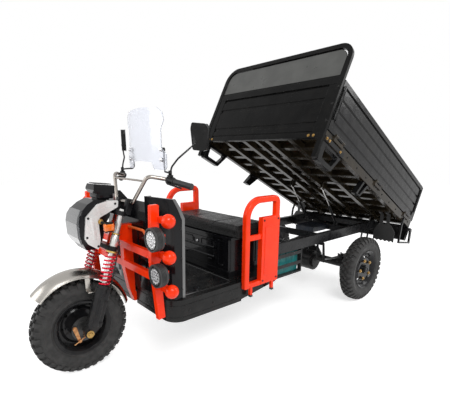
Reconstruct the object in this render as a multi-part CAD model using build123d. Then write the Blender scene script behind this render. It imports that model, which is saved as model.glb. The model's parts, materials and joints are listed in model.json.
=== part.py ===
"""Cargo tricycle with a tipping load bed, built in millimetres.

X is forward, Y is left and Z is up. Pieces are drawn from the middle of the rear axle, and keep() moves
each one by origin_shift and tyre_radius, so the part's origin is on the ground in the middle of its length.
Pieces round the steering head are drawn from the middle of the front axle, with ahead().
Fork pieces are drawn in the fork's frame: n forward, y left, t up along the steering axis.
Bed pieces are drawn in the bed's frame: u forward along the floor, v left, w up from the sills.
"""
from build123d import *
import math
import os

# ---- driving dimensions -------------------------------------------------------------------------
wheelbase = 2288.0
rear_track = 1052.0
tyre_radius = 280.0
tyre_width = 108.0
shoulder_lugs = 30
lug_depth = 9.0
rim_radius = 168.0
hub_radius = 58.0
lug_circle_radius = 82.0

rake = 18.7
steer_offset = 67.0
fork_offset = 22.0
fork_spacing = 244.0
fork_leg_radius = 27.0
fork_tube_radius = 16.5
spring_radius = 33.0
spring_wire = 9.0
spring_turns = 8
spring_bottom = 285.0
spring_top = 475.0
lower_yoke_t = 497.0
upper_yoke_t = 705.0
stem_boss_radius = 30.0
stem_radius = 14.0
leg_boss_radius = 26.0
yoke_thickness = 26.0
clamp_t = 777.0
bar_radius = 11.0
mudguard_rise = 60.0
mudguard_width = 150.0
mudguard_sheet = 3.0

rail_outer_y = 360.0
rail_width = 40.0
rail_height = 80.0
rail_top = 342.0
rail_rear_x = -522.0
rail_front_x = 1010.0
floor_top = 180.0
floor_skin = 8.0
skirt_depth = 132.0
floor_half_width = 440.0
floor_corner_radius = 90.0
seat_front_x = 1400.0
seat_rear_x = 1092.0
seat_box_half_width = 335.0
seat_top = 535.0
seat_half_width = 418.0
cushion_thickness = 78.0
box_wall = 15.0
door_width = 420.0
door_height = 140.0
door_gap = 1.5

guard_outer_y = 465.0
guard_tube = 40.0
guard_rear_x = 1063.0
guard_front_x = 1380.0
guard_top = 723.0
guard_bottom = 129.0
guard_foot_bottom = 65.0
guard_corner_radius = 135.0
guard_panel_length = 168.0
guard_panel_top = 587.0

column_outer_y = 440.0
column_width = 30.0
column_top = 740.0
column_bottom = 110.0
bumper_bar_depth = 26.0
bumper_bar_height = 42.0
ball_radius = 37.0
ball_y = 520.0
lamp_radius = 61.0
lamp_depth = 58.0
lamp_y = 506.0
neck_half = 22.0

shield_half_width = 420.0
shield_top = 755.0
shield_skin = 12.0
pocket_half_width = 190.0
pocket_bottom = 610.0
pocket_depth = 88.0
pocket_back_top = 700.0

bed_length = 1713.0
bed_width = 1232.0
bed_tip = 27.3
bed_side_top = 423.0
bed_floor_w = 62.0
bed_sheet = 3.0
rib_count = 12
rib_width = 40.0
panel_thickness = 26.0
headboard_top = 693.0
headboard_foot = 134.0
headboard_depth = 22.0
hoop_width = 34.0
hoop_corner_radius = 118.0
sill_width = 40.0
hinge_drop = 22.0
hinge_from_rear = 125.5
hinge_z = 328.0
hinge_pin_radius = 10.0
pin_gap = 0.08
panel_hinge_w = 74.0
knuckle_radius = 9.0
knuckle_offset = 11.0
knuckle_pin_radius = 4.0
knuckle_half = 30.0
flap_u = 232.0
flap_v = 488.0
tail_board_depth = 128.0

strut_foot_x = -131.0
strut_foot_z = 333.0
strut_foot_y = 165.0
strut_head_x = 146.0
strut_head_z = 683.0
strut_tube_radius = 11.0
strut_rod_radius = 5.0
strut_eye_radius = 6.0

axle_tube_radius = 34.0
axle_hole_radius = 14.0
leaf_y = 340.0
leaf_width = 50.0
leaf_thickness = 8.0
rack_rear_x = 640.0
rack_front_x = 960.0
rack_half_width = 355.0
rack_bottom = 70.0
battery_count = 4

gap = 0.3

# ---- worked-out places --------------------------------------------------------------------------
tip = math.radians(bed_tip)
hinge_x = rail_rear_x - 32.0
bed_rear_x = hinge_x - hinge_from_rear * math.cos(tip) - hinge_drop * math.sin(tip)
bed_rear_z = hinge_z - hinge_from_rear * math.sin(tip) + hinge_drop * math.cos(tip)
half_bed = bed_width / 2
rear_wheel_y = rear_track / 2
rail_inner_y = rail_outer_y - rail_width
rail_bottom = rail_top - rail_height
front_end = wheelbase + tyre_radius
rear_end = bed_rear_x - bed_side_top * math.sin(tip) - 40.0
origin_shift = -(front_end + rear_end) / 2
shield_x = wheelbase - 358.0
floor_front_x = shield_x - 5.0
floor_bottom = floor_top - skirt_depth
bars_x = wheelbase - 294.0
leg_y = fork_spacing / 2

bed_place = Pos(bed_rear_x, 0, bed_rear_z) * Rot(0, -bed_tip, 0)
fork_place = Pos(wheelbase, 0, 0) * Rot(0, -rake, 0)
parts = {}


# ---- shared helpers -----------------------------------------------------------------------------
def block(x0, x1, y0, y1, z0, z1):
    """A box between two corners."""
    return Pos((x0 + x1) / 2, (y0 + y1) / 2, (z0 + z1) / 2) * Box(abs(x1 - x0), abs(y1 - y0), abs(z1 - z0))


def rod(start, end, radius):
    """A round bar from one point to another."""
    start, end = Vector(*start), Vector(*end)
    return Plane(origin=start, z_dir=end - start) * extrude(Circle(radius), (end - start).length)


def bent_rod(points, radius, bends):
    """A round bar through points, with an arc at each inner point."""
    path = FilletPolyline(*[Vector(*p) for p in points], radius=bends)
    start = Plane(origin=path @ 0, z_dir=path % 0)
    return sweep(start * Circle(radius), path=path)


def both_sides(shape):
    """The shape and its mirror image across the middle of the vehicle."""
    return shape + mirror(shape, about=Plane.XZ)


def side_prism(points, y0, y1):
    """A prism with an outline in X and Z, from y0 to y1."""
    outline = Polyline(*[(x, 0, z) for x, z in points], close=True)
    return Pos(0, y0, 0) * extrude(make_face(outline), y1 - y0, dir=(0, 1, 0))


def front_prism(points, x0, x1):
    """A prism with an outline in Y and Z, from x0 to x1."""
    outline = Polyline(*[(x0, y, z) for y, z in points], close=True)
    return extrude(make_face(outline), x1 - x0, dir=(1, 0, 0))


def disc(radius, y0, y1):
    """A disc about the Y axis, from y0 to y1."""
    return Pos(0, y0, 0) * Rot(-90, 0, 0) * extrude(Circle(radius), y1 - y0)


def link(ends, y0, y1):
    """A flat link round circles given as (x, z, radius), from y0 to y1."""
    edges = [edge for x, z, radius in ends for edge in (Pos(x, -z) * Circle(radius)).edges()]
    return Pos(0, y0, 0) * Rot(-90, 0, 0) * extrude(make_hull(edges), y1 - y0)


def ahead(points):
    """Outline points moved from the front axle's frame to the rear axle's."""
    return [(wheelbase + x, z) for x, z in points]


def on_circle(radius, count, k):
    """Place k of count places round the Y axis, as X and Z."""
    angle = 2 * math.pi * k / count
    return radius * math.cos(angle), radius * math.sin(angle)


def keep(name, shape):
    """Store a finished piece in the part's own frame."""
    parts[name] = Pos(origin_shift, 0, tyre_radius) * shape


# ---- wheels -------------------------------------------------------------------------------------
bead_radius = rim_radius - 14
bead_half = tyre_width / 2 - 14


def tyre_solid():
    """A tyre about the Y axis: round sidewalls, a nearly flat crown and notched shoulders."""
    half = tyre_width / 2
    shoulder = (tyre_radius - 24, half - 4)
    crown_edge = (tyre_radius - 5, half - 16)
    section = Polyline((rim_radius + 2, -bead_half), (bead_radius, -bead_half), (bead_radius, bead_half),
                       (rim_radius + 2, bead_half))
    section += ThreePointArc((rim_radius + 2, bead_half), (tyre_radius - 68, half), shoulder)
    section += Line(shoulder, crown_edge)
    section += ThreePointArc(crown_edge, (tyre_radius, 0), (crown_edge[0], -crown_edge[1]))
    section += Line((crown_edge[0], -crown_edge[1]), (shoulder[0], -shoulder[1]))
    section += ThreePointArc((shoulder[0], -shoulder[1]), (tyre_radius - 68, -half), (rim_radius + 2, -bead_half))
    tyre = revolve(make_face(section), Axis.Y)
    notch = block(tyre_radius - 44, tyre_radius + 4, half - 26, half + 2, -lug_depth, lug_depth)
    notches = []
    for k in range(shoulder_lugs):
        turn = 360 * k / shoulder_lugs
        notches.append(Rot(0, turn, 0) * notch)
        notches.append(Rot(0, turn + 180 / shoulder_lugs, 0) * mirror(notch, about=Plane.XZ))
    return tyre - notches


def rim_solid(dish):
    """A steel wheel about the Y axis: a well with rolled lips, and a disc set dish to the +Y side."""
    lip = bead_half + gap
    barrel = [(bead_radius - gap, -lip), (rim_radius, -lip), (rim_radius, -lip - 5), (rim_radius - 6, -lip - 7),
              (rim_radius - 20, -lip), (rim_radius - 28, -lip + 8), (rim_radius - 36, -18)]
    barrel += [(radius, -y) for radius, y in reversed(barrel)]
    well = rim_radius - 35
    disc_section = [(well, dish - 3), (well, dish + 3), (well - 18, dish + 3), (well - 34, dish + 13),
                    (hub_radius - 4, dish + 13), (hub_radius - 4, dish + 7), (well - 31, dish + 7),
                    (well - 15, dish - 3)]
    wheel = revolve(make_face(Polyline(*barrel, close=True)), Axis.Y)
    wheel += revolve(make_face(Polyline(*disc_section, close=True)), Axis.Y)
    wheel += disc(hub_radius, -bead_half - 6, dish + 13)
    wheel += disc(hub_radius - 20, dish + 13, dish + 34)
    holes = 8
    hand_hole = disc(9, dish - 30, dish + 30)
    for k in range(holes):
        x, z = on_circle(well - 24, holes, k)
        wheel -= Pos(x, 0, z) * hand_hole
    nut = Pos(0, dish + 13, 0) * Rot(-90, 0, 0) * extrude(RegularPolygon(10, 6), 12)
    for k in range(5):
        x, z = on_circle(lug_circle_radius, 5, k)
        wheel += Pos(x, 0, z) * nut
    return wheel


axle_hole = disc(axle_hole_radius, -200, 200)
rear_rim = rim_solid(14.0) - axle_hole
front_rim = rim_solid(-16.0) - axle_hole
tyre = tyre_solid()
wheels = {
    "front": (wheelbase, 0.0, front_rim),
    "rear_left": (0.0, rear_wheel_y, rear_rim),
    "rear_right": (0.0, -rear_wheel_y, mirror(rear_rim, about=Plane.XZ)),
}
for place, (wheel_x, wheel_y, rim) in wheels.items():
    keep(place + "_tyre", Pos(wheel_x, wheel_y, 0) * tyre)
    keep(place + "_rim", Pos(wheel_x, wheel_y, 0) * rim)


# ---- front fork and steering --------------------------------------------------------------------
def fork_pair(shape):
    """Mirror a fork-frame shape to both legs and place it on the vehicle."""
    return fork_place * both_sides(shape)


def leg_bar(radius, t0, t1):
    """A round bar along the left fork leg."""
    return Pos(-fork_offset, leg_y, t0) * extrude(Circle(radius), t1 - t0)


def on_leg(sketch, t0, t1):
    """A sketch set on the left fork leg and extruded along it."""
    return Pos(-fork_offset, leg_y, t0) * extrude(sketch, t1 - t0)


axle_radius = axle_hole_radius - pin_gap
leg_top = spring_bottom - 6
lower_leg = on_leg(Circle(fork_leg_radius) + RectangleRounded(84, 34, 8), 40, leg_top - 14)
lower_leg += on_leg(Circle(spring_radius + 3), leg_top - 14, spring_bottom)
lug = link([(0, 0, 27), (-fork_offset - 8, 52, 30), (-fork_offset - 26, 60, 14)], leg_y - 15, leg_y + 15)
fork_axle = disc(axle_radius, -leg_y - 22, leg_y + 22)
for side in (-1, 1):
    fork_axle += disc(19, side * (leg_y + 15), side * (leg_y + 27))
keep("fork_legs", fork_place * (both_sides(lower_leg + lug) + fork_axle))

slider = leg_bar(fork_tube_radius, spring_bottom + gap, upper_yoke_t + 13)
slider += on_leg(RegularPolygon(13, 6), upper_yoke_t + 13, upper_yoke_t + 24)
keep("fork_tubes", fork_pair(slider))

pitch = (spring_top - spring_bottom - spring_wire - 2 * gap) / spring_turns
helix = Helix(pitch, pitch * spring_turns, spring_radius - spring_wire / 2)
coil = sweep(Plane(origin=helix @ 0, z_dir=helix % 0) * Circle(spring_wire / 2), path=helix)
keep("fork_springs", fork_pair(Pos(-fork_offset, leg_y, spring_bottom + spring_wire / 2 + gap) * coil))


def yoke(t0, t1):
    """A fork yoke across both legs, with the stem's boss on the steering axis."""
    bosses = [Pos(-steer_offset, 0) * Circle(stem_boss_radius)]
    bosses += [Pos(-fork_offset, y) * Circle(leg_boss_radius) for y in (-leg_y, leg_y)]
    outline = make_hull([edge for boss in bosses for edge in boss.edges()])
    plate = Pos(0, 0, t0) * extrude(outline, t1 - t0)
    return plate - both_sides(leg_bar(fork_tube_radius + pin_gap, t0 - 1, t1 + 1))


clamp_n = -steer_offset - 20.0
clamp_y = 60.0
sleeve_top = 590.0
sleeve = leg_bar(leg_boss_radius, spring_top + gap, lower_yoke_t) + leg_bar(leg_boss_radius - 5, lower_yoke_t, sleeve_top)
sleeve -= leg_bar(fork_tube_radius + pin_gap, 0, 900)
stem = Pos(-steer_offset, 0, lower_yoke_t) * extrude(Circle(stem_radius), upper_yoke_t - lower_yoke_t)
lower_yoke = yoke(lower_yoke_t - yoke_thickness / 2, lower_yoke_t + yoke_thickness / 2)
upper_yoke = yoke(upper_yoke_t - yoke_thickness / 2, upper_yoke_t + yoke_thickness / 2)
riser = on_leg(RectangleRounded(40, 40, 8), upper_yoke_t, clamp_t + 18)
riser = Pos(clamp_n + fork_offset, clamp_y - leg_y, 0) * riser
riser -= Pos(clamp_n, 0, clamp_t) * disc(bar_radius + pin_gap, -200, 200)
yoke_top = upper_yoke_t + yoke_thickness / 2
ignition = Pos(-steer_offset + 14, 0, yoke_top) * (extrude(Circle(21), 26) + extrude(Circle(15), 34))
keep("fork_yokes", fork_place * (lower_yoke + upper_yoke + stem + both_sides(riser + sleeve) + ignition))

# ---- handlebar and what it carries --------------------------------------------------------------
clamp_point = fork_place * Pos(clamp_n, 0, clamp_t)
bar_x, bar_z = clamp_point.position.X, clamp_point.position.Z
bar_bend = Vector(wheelbase - 462, 262, 848)
bar_tip = Vector(wheelbase - 523, 425, 813)
bar_half = [(bar_x, 0, bar_z), (bar_x, 104, bar_z), (wheelbase - 377, 208, 866), bar_bend, bar_tip]
left_bar = bent_rod(bar_half, bar_radius, [30, 40, 24])
brace_x, brace_z, brace_half = wheelbase - 366, 838, 190
keep("handlebar", both_sides(left_bar) + rod((brace_x, -brace_half, brace_z), (brace_x, brace_half, brace_z), 6))

grip_dir = (bar_tip - bar_bend).normalized()
grip_run = (bar_tip - bar_bend).length
housing_start, grip_start, grip_cap = 16.0, 54.0, 4.0


def along_grip(start):
    """The plane across the left grip, start along it."""
    return Plane(origin=bar_bend + grip_dir * start, z_dir=grip_dir)


def on_grip(start, end, radius, bore_end):
    """A sleeve round the left grip run, bored for the bar up to bore_end."""
    sleeve = along_grip(start) * extrude(Circle(radius), end - start)
    return sleeve - along_grip(start - 1) * extrude(Circle(bar_radius + pin_gap), bore_end - start + 1)


grip = on_grip(grip_start, grip_run + grip_cap, 16, grip_run + gap)
grip += along_grip(grip_start) * extrude(Circle(21) - Circle(15), 5)
keep("grips", both_sides(grip))

mirror_x, mirror_y, mirror_base_z = wheelbase - 474, 293.0, 872.0
housing = on_grip(housing_start, grip_start - gap, 23, grip_start)
mirror_seat = block(mirror_x - 12, mirror_x + 12, mirror_y - 12, mirror_y + 12, bar_bend.Z - 4, mirror_base_z)
mirror_seat -= along_grip(0) * extrude(Circle(bar_radius + pin_gap), grip_run)
lever = [along_grip(36).origin + Vector(24, 0, -4), along_grip(60).origin + Vector(46, 0, -8),
         along_grip(150).origin + Vector(40, 0, -12)]
perch = rod(along_grip(36).origin, lever[0], 9) - along_grip(0) * extrude(Circle(bar_radius + pin_gap), grip_run)
housing += perch + bent_rod(lever, 5, [12])
keep("switch_housings", both_sides(housing + mirror_seat))

mirror_foot = Vector(mirror_x, mirror_y, mirror_base_z + gap)
stem_end = (mirror_x - 76, 432, 1042)
stem_points = [mirror_foot + Vector(0, 0, 8), (mirror_x - 8, 298, 916), (mirror_x - 34, 322, 960), stem_end]
mirror_boss_radius = 10.0
mirror_stem = bent_rod(stem_points, 5, [30, 30]) + rod(mirror_foot, mirror_foot + Vector(0, 0, 24), mirror_boss_radius)
mirror_plane = Plane(origin=(mirror_x - 108, 440, 1076), x_dir=(-0.446, 0.895, 0), z_dir=(0.895, 0.446, 0))
glass_outline = Polyline((-44, 70), (34, 62), (52, 40), (40, -66), (26, -76), (-40, -70), (-52, 40), close=True)
mirror_shell = extrude(mirror_plane * make_face(glass_outline), 14)
mirror_shell += extrude(mirror_plane.offset(14) * make_face(glass_outline), 14, taper=35)
keep("mirrors", both_sides(mirror_stem + mirror_shell + rod(stem_end, (mirror_x - 102, 440, 1060), 7)))

screen_x = wheelbase - 462
screen_thickness = 4.0
screen_bend_radius = 700.0
screen_outline = [(-216, 896), (-226, 910), (-226, 986), (-192, 1020), (-192, 1122), (-214, 1166), (-205, 1210),
                  (-165, 1238), (0, 1246), (165, 1238), (205, 1210), (214, 1166), (192, 1122), (192, 1020),
                  (226, 986), (226, 910), (216, 896), (130, 896), (110, 936), (0, 944), (-110, 936), (-130, 896)]
screen_blank = Pos(screen_x - screen_bend_radius, 0, 880) * extrude(
    Circle(screen_bend_radius + screen_thickness) - Circle(screen_bend_radius), 400)
screen_cutter = front_prism(screen_outline, screen_x - 80, screen_x + 20)
screen_cutter = fillet(screen_cutter.edges().filter_by(Axis.X), 9)
keep("windshield", screen_blank & screen_cutter)

pad_y = 186.0
pad_x = screen_x - screen_bend_radius + math.sqrt(screen_bend_radius ** 2 - (pad_y + 13) ** 2)
post_x = pad_x - 16
bracket_start = (mirror_x, mirror_y - mirror_boss_radius - 3 * gap, mirror_base_z + 12)
bracket = bent_rod([bracket_start, (mirror_x, 240, 888), (post_x, pad_y, 892), (post_x, pad_y, 1020)], 5, [20, 20])
for pad_z in (952, 1008):
    bracket += Pos(post_x, pad_y, pad_z) * Rot(0, 90, 0) * extrude(Circle(13), pad_x - post_x - gap)
keep("windshield_brackets", both_sides(bracket))

# ---- headlamp, pod, indicators -------------------------------------------------------------------
lamp_half_width = 98.0
lamp_side = ahead([(-192, 732), (-120, 742), (-76, 721), (-42, 692), (-26, 655), (-18, 620), (-20, 542), (-32, 502),
                   (-52, 465), (-108, 462), (-138, 510), (-158, 600), (-192, 650)])
lamp_front = [(lamp_half_width, 530), (lamp_half_width, 670), (70, 745), (-70, 745), (-lamp_half_width, 670),
              (-lamp_half_width, 530), (-62, 458), (62, 458)]
lamp_body = side_prism(lamp_side, -lamp_half_width, lamp_half_width)
lamp_body &= front_prism(lamp_front, wheelbase - 210, wheelbase)
lamp_bracket = block(-fork_offset + leg_boss_radius + gap, 60, -30, 30, upper_yoke_t - 10, upper_yoke_t + 10)
keep("headlamp", lamp_body + fork_place * lamp_bracket)

glass_side = ahead([(-42 + gap, 692), (-26 + gap, 655), (-18 + gap, 620), (-20 + gap, 542), (-32 + gap, 502),
                    (-22, 504), (-6, 542), (-4, 620), (-14, 660), (-34, 694)])
glass_front = [(y * 0.9, 600 + (z - 600) * 0.94) for y, z in lamp_front]
glass = side_prism(glass_side, -lamp_half_width, lamp_half_width)
keep("headlamp_lens", glass & front_prism(glass_front, wheelbase - 60, wheelbase))

plate_side = ahead([(-242, 732), (-186, 736), (-118, 720), (-50, 656), (-34, 539), (-52, 506), (-106, 468),
                    (-122, 520), (-119, 609), (-127, 647), (-237, 696)])
plate_thickness = 11.0
side_plate = side_prism(plate_side, lamp_half_width + gap, lamp_half_width + plate_thickness)
side_plate = fillet(side_plate.edges().filter_by(Axis.Y), 5)
keep("headlamp_plates", both_sides(side_plate))

pod_side = ahead([(-248, 766), (-138, 772), (-124, 794), (-132, 824), (-244, 812)])
pod = side_prism(pod_side, -60, 60)
pod &= front_prism([(-60, 760), (60, 760), (60, 806), (44, 830), (-44, 830), (-60, 806)], wheelbase - 260, wheelbase)
pod_foot = side_prism(ahead([(-191, 732 + gap), (-156, 737 + gap), (-156, 774), (-191, 770)]), -20, 20)
keep("instrument_pod", pod + pod_foot)

signal_y = lamp_half_width + plate_thickness
signal_x, signal_z = wheelbase - 128, 625
signal = Pos(signal_x, 0, signal_z) * disc(11, signal_y + gap, signal_y + 5)
signal += rod((signal_x, signal_y + 4, signal_z), (signal_x - 20, signal_y + 36, signal_z - 15), 8)
signal_body = Pos(signal_x - 24, signal_y + 46, signal_z - 27) * Rot(0, 90, 0) * Box(56, 34, 40)
signal += fillet(signal_body.edges().filter_by(Axis.X), 8)
keep("turn_signals", both_sides(signal))

# ---- mudguard, front brake and its cable ---------------------------------------------------------
mudguard_radius = tyre_radius + mudguard_rise - 22
mudguard_centre = (wheelbase + 12, 33)
mudguard_start, mudguard_end = 42.0, 168.0
mudguard_drop = 38.0


def mudguard_solid():
    """A crowned sheet with rolled edges, swung about a centre ahead of and above the axle."""
    half = mudguard_width / 2
    radius, low = mudguard_radius, mudguard_radius - mudguard_drop
    section = ThreePointArc((low, -half), (radius, 0), (low, half))
    section += Line((low, half), (low, half - mudguard_sheet))
    section += ThreePointArc((low, half - mudguard_sheet), (radius - mudguard_sheet, 0), (low, mudguard_sheet - half))
    section += Line((low, mudguard_sheet - half), (low, -half))
    profile = make_face(section)
    for side in (-1, 1):
        profile += Pos(low, side * (half - mudguard_sheet / 2)) * Circle(4)
    sheet = revolve(profile, Axis.Y, revolution_arc=mudguard_end - mudguard_start)
    return Pos(mudguard_centre[0], 0, mudguard_centre[1]) * Rot(0, -mudguard_end, 0) * sheet


strap_x, strap_z = wheelbase - 38, 228
strap_y = leg_y - fork_leg_radius - 24
strap = block(strap_x - 14, strap_x + 14, strap_y, strap_y + 5, strap_z, 322)
strap += block(strap_x - 36, strap_x + 14, strap_y, leg_y - 10, strap_z, strap_z + 5)
strap += block(strap_x - 14, strap_x + 14, mudguard_width / 2 - 8, strap_y + 5, 317, 322)
strap -= fork_place * leg_bar(spring_radius + 3 + gap, leg_top - 14, spring_bottom + 1)
strap -= fork_place * on_leg(Circle(fork_leg_radius + gap) + Rectangle(84 + 2 * gap, 34 + 2 * gap), 30, leg_top)
keep("front_mudguard", mudguard_solid() + both_sides(strap))

drum_y = bead_half + 14.0
brake_plate = disc(74, drum_y, drum_y + 8) + disc(50, drum_y + 8, drum_y + 12)
brake_plate += Pos(58, 0, 20) * disc(9, drum_y, drum_y + 22)
brake_plate += link([(58, 20, 12), (36, -67, 8)], drum_y + 13, drum_y + 18)
cable_y = drum_y + 23
brake_plate += link([(-26, -28, 11), (-40, -46, 12), (0, -40, 12)], drum_y, cable_y - 5)
brake_plate += rod((-8, cable_y, -37), (-30, cable_y, -26), 7)
brake_plate += rod((70, cable_y, -76), (-18, cable_y, -32), 3)
brake_plate += Pos(36, 0, -59) * disc(8, drum_y + 15, drum_y + 29)
brake_plate -= axle_hole
keep("front_brake_plate", Pos(wheelbase, 0, 0) * brake_plate)

cable_end = fork_place * Pos(-28, 30, upper_yoke_t - yoke_thickness / 2 - gap)
cable_points = [(wheelbase - 30 - gap, cable_y, -26 + gap), (wheelbase - 75, cable_y, -4), (wheelbase - 112, cable_y, 60),
                (wheelbase - 150, 90, 180), (wheelbase - 186, 90, 290), (wheelbase - 214, 88, 390),
                (wheelbase - 248, 74, 470), (wheelbase - 243, 45, 560), cable_end.position]
cable_radii = [60, 150, 200, 200, 150, 110, 80]
keep("brake_cable", bent_rod(cable_points, 4, cable_radii))

# ---- chassis frame -------------------------------------------------------------------------------
ear_thickness = 8.0
under_floor = floor_top - floor_skin
low_rail_height = 60.0
cross_tube = 40.0


def chassis_solid():
    """Rails, cross tubes, the low floor frame and the ears that carry the bed's hinge."""
    front_x = floor_front_x - 100
    rail = block(rail_rear_x, rail_front_x, rail_inner_y, rail_outer_y, rail_bottom, rail_top)
    low_rail = block(rail_front_x - cross_tube, front_x + cross_tube, rail_inner_y, rail_outer_y,
                     under_floor - low_rail_height, under_floor)
    post = block(rail_front_x - cross_tube, rail_front_x, rail_inner_y, rail_outer_y, under_floor, rail_bottom)
    frame = both_sides(rail + low_rail + post)
    for x in (rail_rear_x + 10, strut_foot_x - 9, 300, 700, rail_front_x - cross_tube):
        frame += block(x, x + cross_tube, -rail_inner_y, rail_inner_y, rail_bottom + 6, rail_top - 26)
    for x in (rail_front_x + 60, seat_front_x):
        frame += block(x, x + cross_tube, -rail_inner_y, rail_inner_y, under_floor - 50, under_floor - 10)
    frame += block(front_x, front_x + cross_tube, -rail_inner_y, rail_inner_y, under_floor - 106, under_floor)
    ear = side_prism([(rail_rear_x + 50, rail_bottom + 4), (rail_rear_x + 50, rail_top - 4),
                      (hinge_x + 12, hinge_z + 16), (hinge_x - 14, hinge_z + 12), (hinge_x - 16, hinge_z - 10),
                      (hinge_x, rail_bottom + 4)], rail_inner_y - ear_thickness, rail_inner_y)
    ear -= Pos(hinge_x, 0, hinge_z) * disc(hinge_pin_radius + pin_gap, 0, 500)
    frame += both_sides(ear)
    lug = side_prism([(strut_foot_x - 9, rail_top - 27), (strut_foot_x - 9, rail_top),
                      (strut_foot_x + 11, rail_top + 2), (strut_foot_x + 19, rail_top - 27)], -3, 3)
    for y in (strut_foot_y - 15, strut_foot_y + 15):
        frame += both_sides(Pos(0, y, 0) * lug)
    pin = Pos(strut_foot_x, strut_foot_y, strut_foot_z) * disc(strut_eye_radius, -17, 17)
    return frame + both_sides(pin)


keep("chassis_frame", chassis_solid())

head_low_t = lower_yoke_t + yoke_thickness / 2 + 2
head_high_t = upper_yoke_t - yoke_thickness / 2 - 2
head_tube = fork_place * Pos(-steer_offset, 0, head_low_t) * (
    extrude(Circle(27), head_high_t - head_low_t) - extrude(Circle(stem_radius + pin_gap), head_high_t - head_low_t))
bar_tops = (472, 350)
neck_front = bars_x - wheelbase
neck_rear = shield_x + gap - wheelbase
neck_foot = floor_front_x - 60 - wheelbase
neck = side_prism(ahead([(-248, 495), (neck_front, bar_tops[0]), (neck_front, bar_tops[1] - bumper_bar_height),
                         (neck_front - 26, 150), (neck_rear + 10, 66), (neck_foot, 66), (neck_foot, 104),
                         (neck_rear - 25, 104), (neck_rear, 132), (neck_rear, 572), (-274, 572)]),
                  -neck_half, neck_half)
neck -= fork_place * Pos(-steer_offset, 0, head_low_t - 20) * extrude(Circle(26), 300)
keep("neck_frame", head_tube + neck)

# ---- front bumper --------------------------------------------------------------------------------
column_side = ahead([(-258, column_top), (-304, column_top), (-296, 440), (-318, column_bottom + 5),
                     (-276, column_bottom), (-246, 440)])
column_inner_y = column_outer_y - column_width
bumper = side_prism(column_side, column_inner_y, column_outer_y)
bumper = chamfer(bumper.edges().group_by(Axis.Z)[-1], 5)
ball_places = ahead([(-306, 664), (-304, 477), (-314, 290)])
for ball_x, ball_z in ball_places:
    bumper += block(ball_x - 15, ball_x + 15, column_outer_y - 5, ball_y, ball_z - 15, ball_z + 15)
    bumper += Pos(ball_x, ball_y, ball_z) * Sphere(ball_radius)
lamp_places = ahead([(-268, 581), (-282, 391)])
lamp_bracket_thickness = 8.0
for lamp_x, lamp_z in lamp_places:
    bumper += block(lamp_x - lamp_bracket_thickness, lamp_x, column_outer_y - 4, lamp_y + 30, lamp_z - 24, lamp_z + 24)
for bar_top in bar_tops:
    bumper += block(bars_x - bumper_bar_depth, bars_x, neck_half, column_inner_y + 5, bar_top - bumper_bar_height,
                    bar_top)
keep("front_bumper", both_sides(bumper))

lamp_profile = Polyline((0, 0), (lamp_radius - 16, 0), (lamp_radius - 4, 10), (lamp_radius, 22),
                        (lamp_radius, lamp_depth), (lamp_radius - 7, lamp_depth), (lamp_radius - 7, lamp_depth - 6),
                        (0, lamp_depth - 6), close=True)
lamp = Rot(0, 90, 0) * revolve(Rot(90, 0, 0) * make_face(lamp_profile), Axis.Z)
lamps = [Pos(lamp_x + gap, lamp_y, lamp_z) * lamp for lamp_x, lamp_z in lamp_places]
keep("bumper_lamps", both_sides(lamps[0] + lamps[1]))

# ---- leg shield ----------------------------------------------------------------------------------
shield_bottom = floor_top + gap
sweep_back = 46.0
shield_plan = [(0, pocket_half_width - 20), (-sweep_back + 8, shield_half_width - 22),
               (-sweep_back, shield_half_width)]


def plan_prism(points, z0, z1):
    """A prism with an outline in X and Y, from z0 to z1."""
    return Pos(0, 0, z0) * extrude(make_face(Polyline(*points, close=True)), z1 - z0)


def shield_wall(x, skin):
    """A wall across the vehicle that sweeps back at both ends."""
    front = [(x + dx, y) for dx, y in reversed(shield_plan)] + [(x + dx, -y) for dx, y in shield_plan]
    back = [(px - skin, py) for px, py in reversed(front)]
    return plan_prism(front + back, shield_bottom, shield_top)


def shield_solid():
    """The moulded leg shield: a swept front, side returns, ribs, and a pocket behind the steering head."""
    side_x = shield_x - sweep_back
    shield = shield_wall(shield_x, shield_skin)
    side_return = side_prism([(side_x - 2, shield_bottom), (side_x - 2, shield_top), (side_x - 14, shield_top),
                              (side_x - 44, shield_top - 50), (side_x - 70, shield_top - 110),
                              (side_x - 62, shield_bottom)], shield_half_width - shield_skin, shield_half_width)
    shield += both_sides(side_return)
    for y in (90, 200, 310):
        dx = -max(0.0, y - shield_plan[0][1]) * 0.17
        rib = block(shield_x + dx - 4, shield_x + dx + 5, y - 8, y + 8, shield_bottom + 40, pocket_bottom - 70)
        shield += both_sides(rib)
    pocket_x = shield_x - pocket_depth
    shield -= block(shield_x - 70, shield_x + 60, -pocket_half_width, pocket_half_width, pocket_bottom, shield_top + 20)
    wall = block(pocket_x, shield_x - 2, pocket_half_width, pocket_half_width + 10, pocket_bottom - 10, shield_top)
    wall -= block(shield_x - 12, shield_x + 9, 0, 400, pocket_bottom - 20, shield_top + 1)
    wall -= side_prism([(pocket_x - 1, pocket_back_top), (shield_x - 40, shield_top + 1), (pocket_x - 1, shield_top + 1)],
                       0, 400)
    pocket = block(pocket_x, pocket_x + 10, -pocket_half_width - 10, pocket_half_width + 10, pocket_bottom - 10,
                   pocket_back_top)
    pocket += block(pocket_x, shield_x - 2, -pocket_half_width, pocket_half_width, pocket_bottom - 10, pocket_bottom)
    return shield + pocket + both_sides(wall)


keep("leg_shield", shield_solid())

# ---- floor and seat ------------------------------------------------------------------------------
floor_rear_x = 1035.0
floor_step_x = guard_front_x + 8
narrow_half = guard_outer_y - guard_tube - gap


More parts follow.
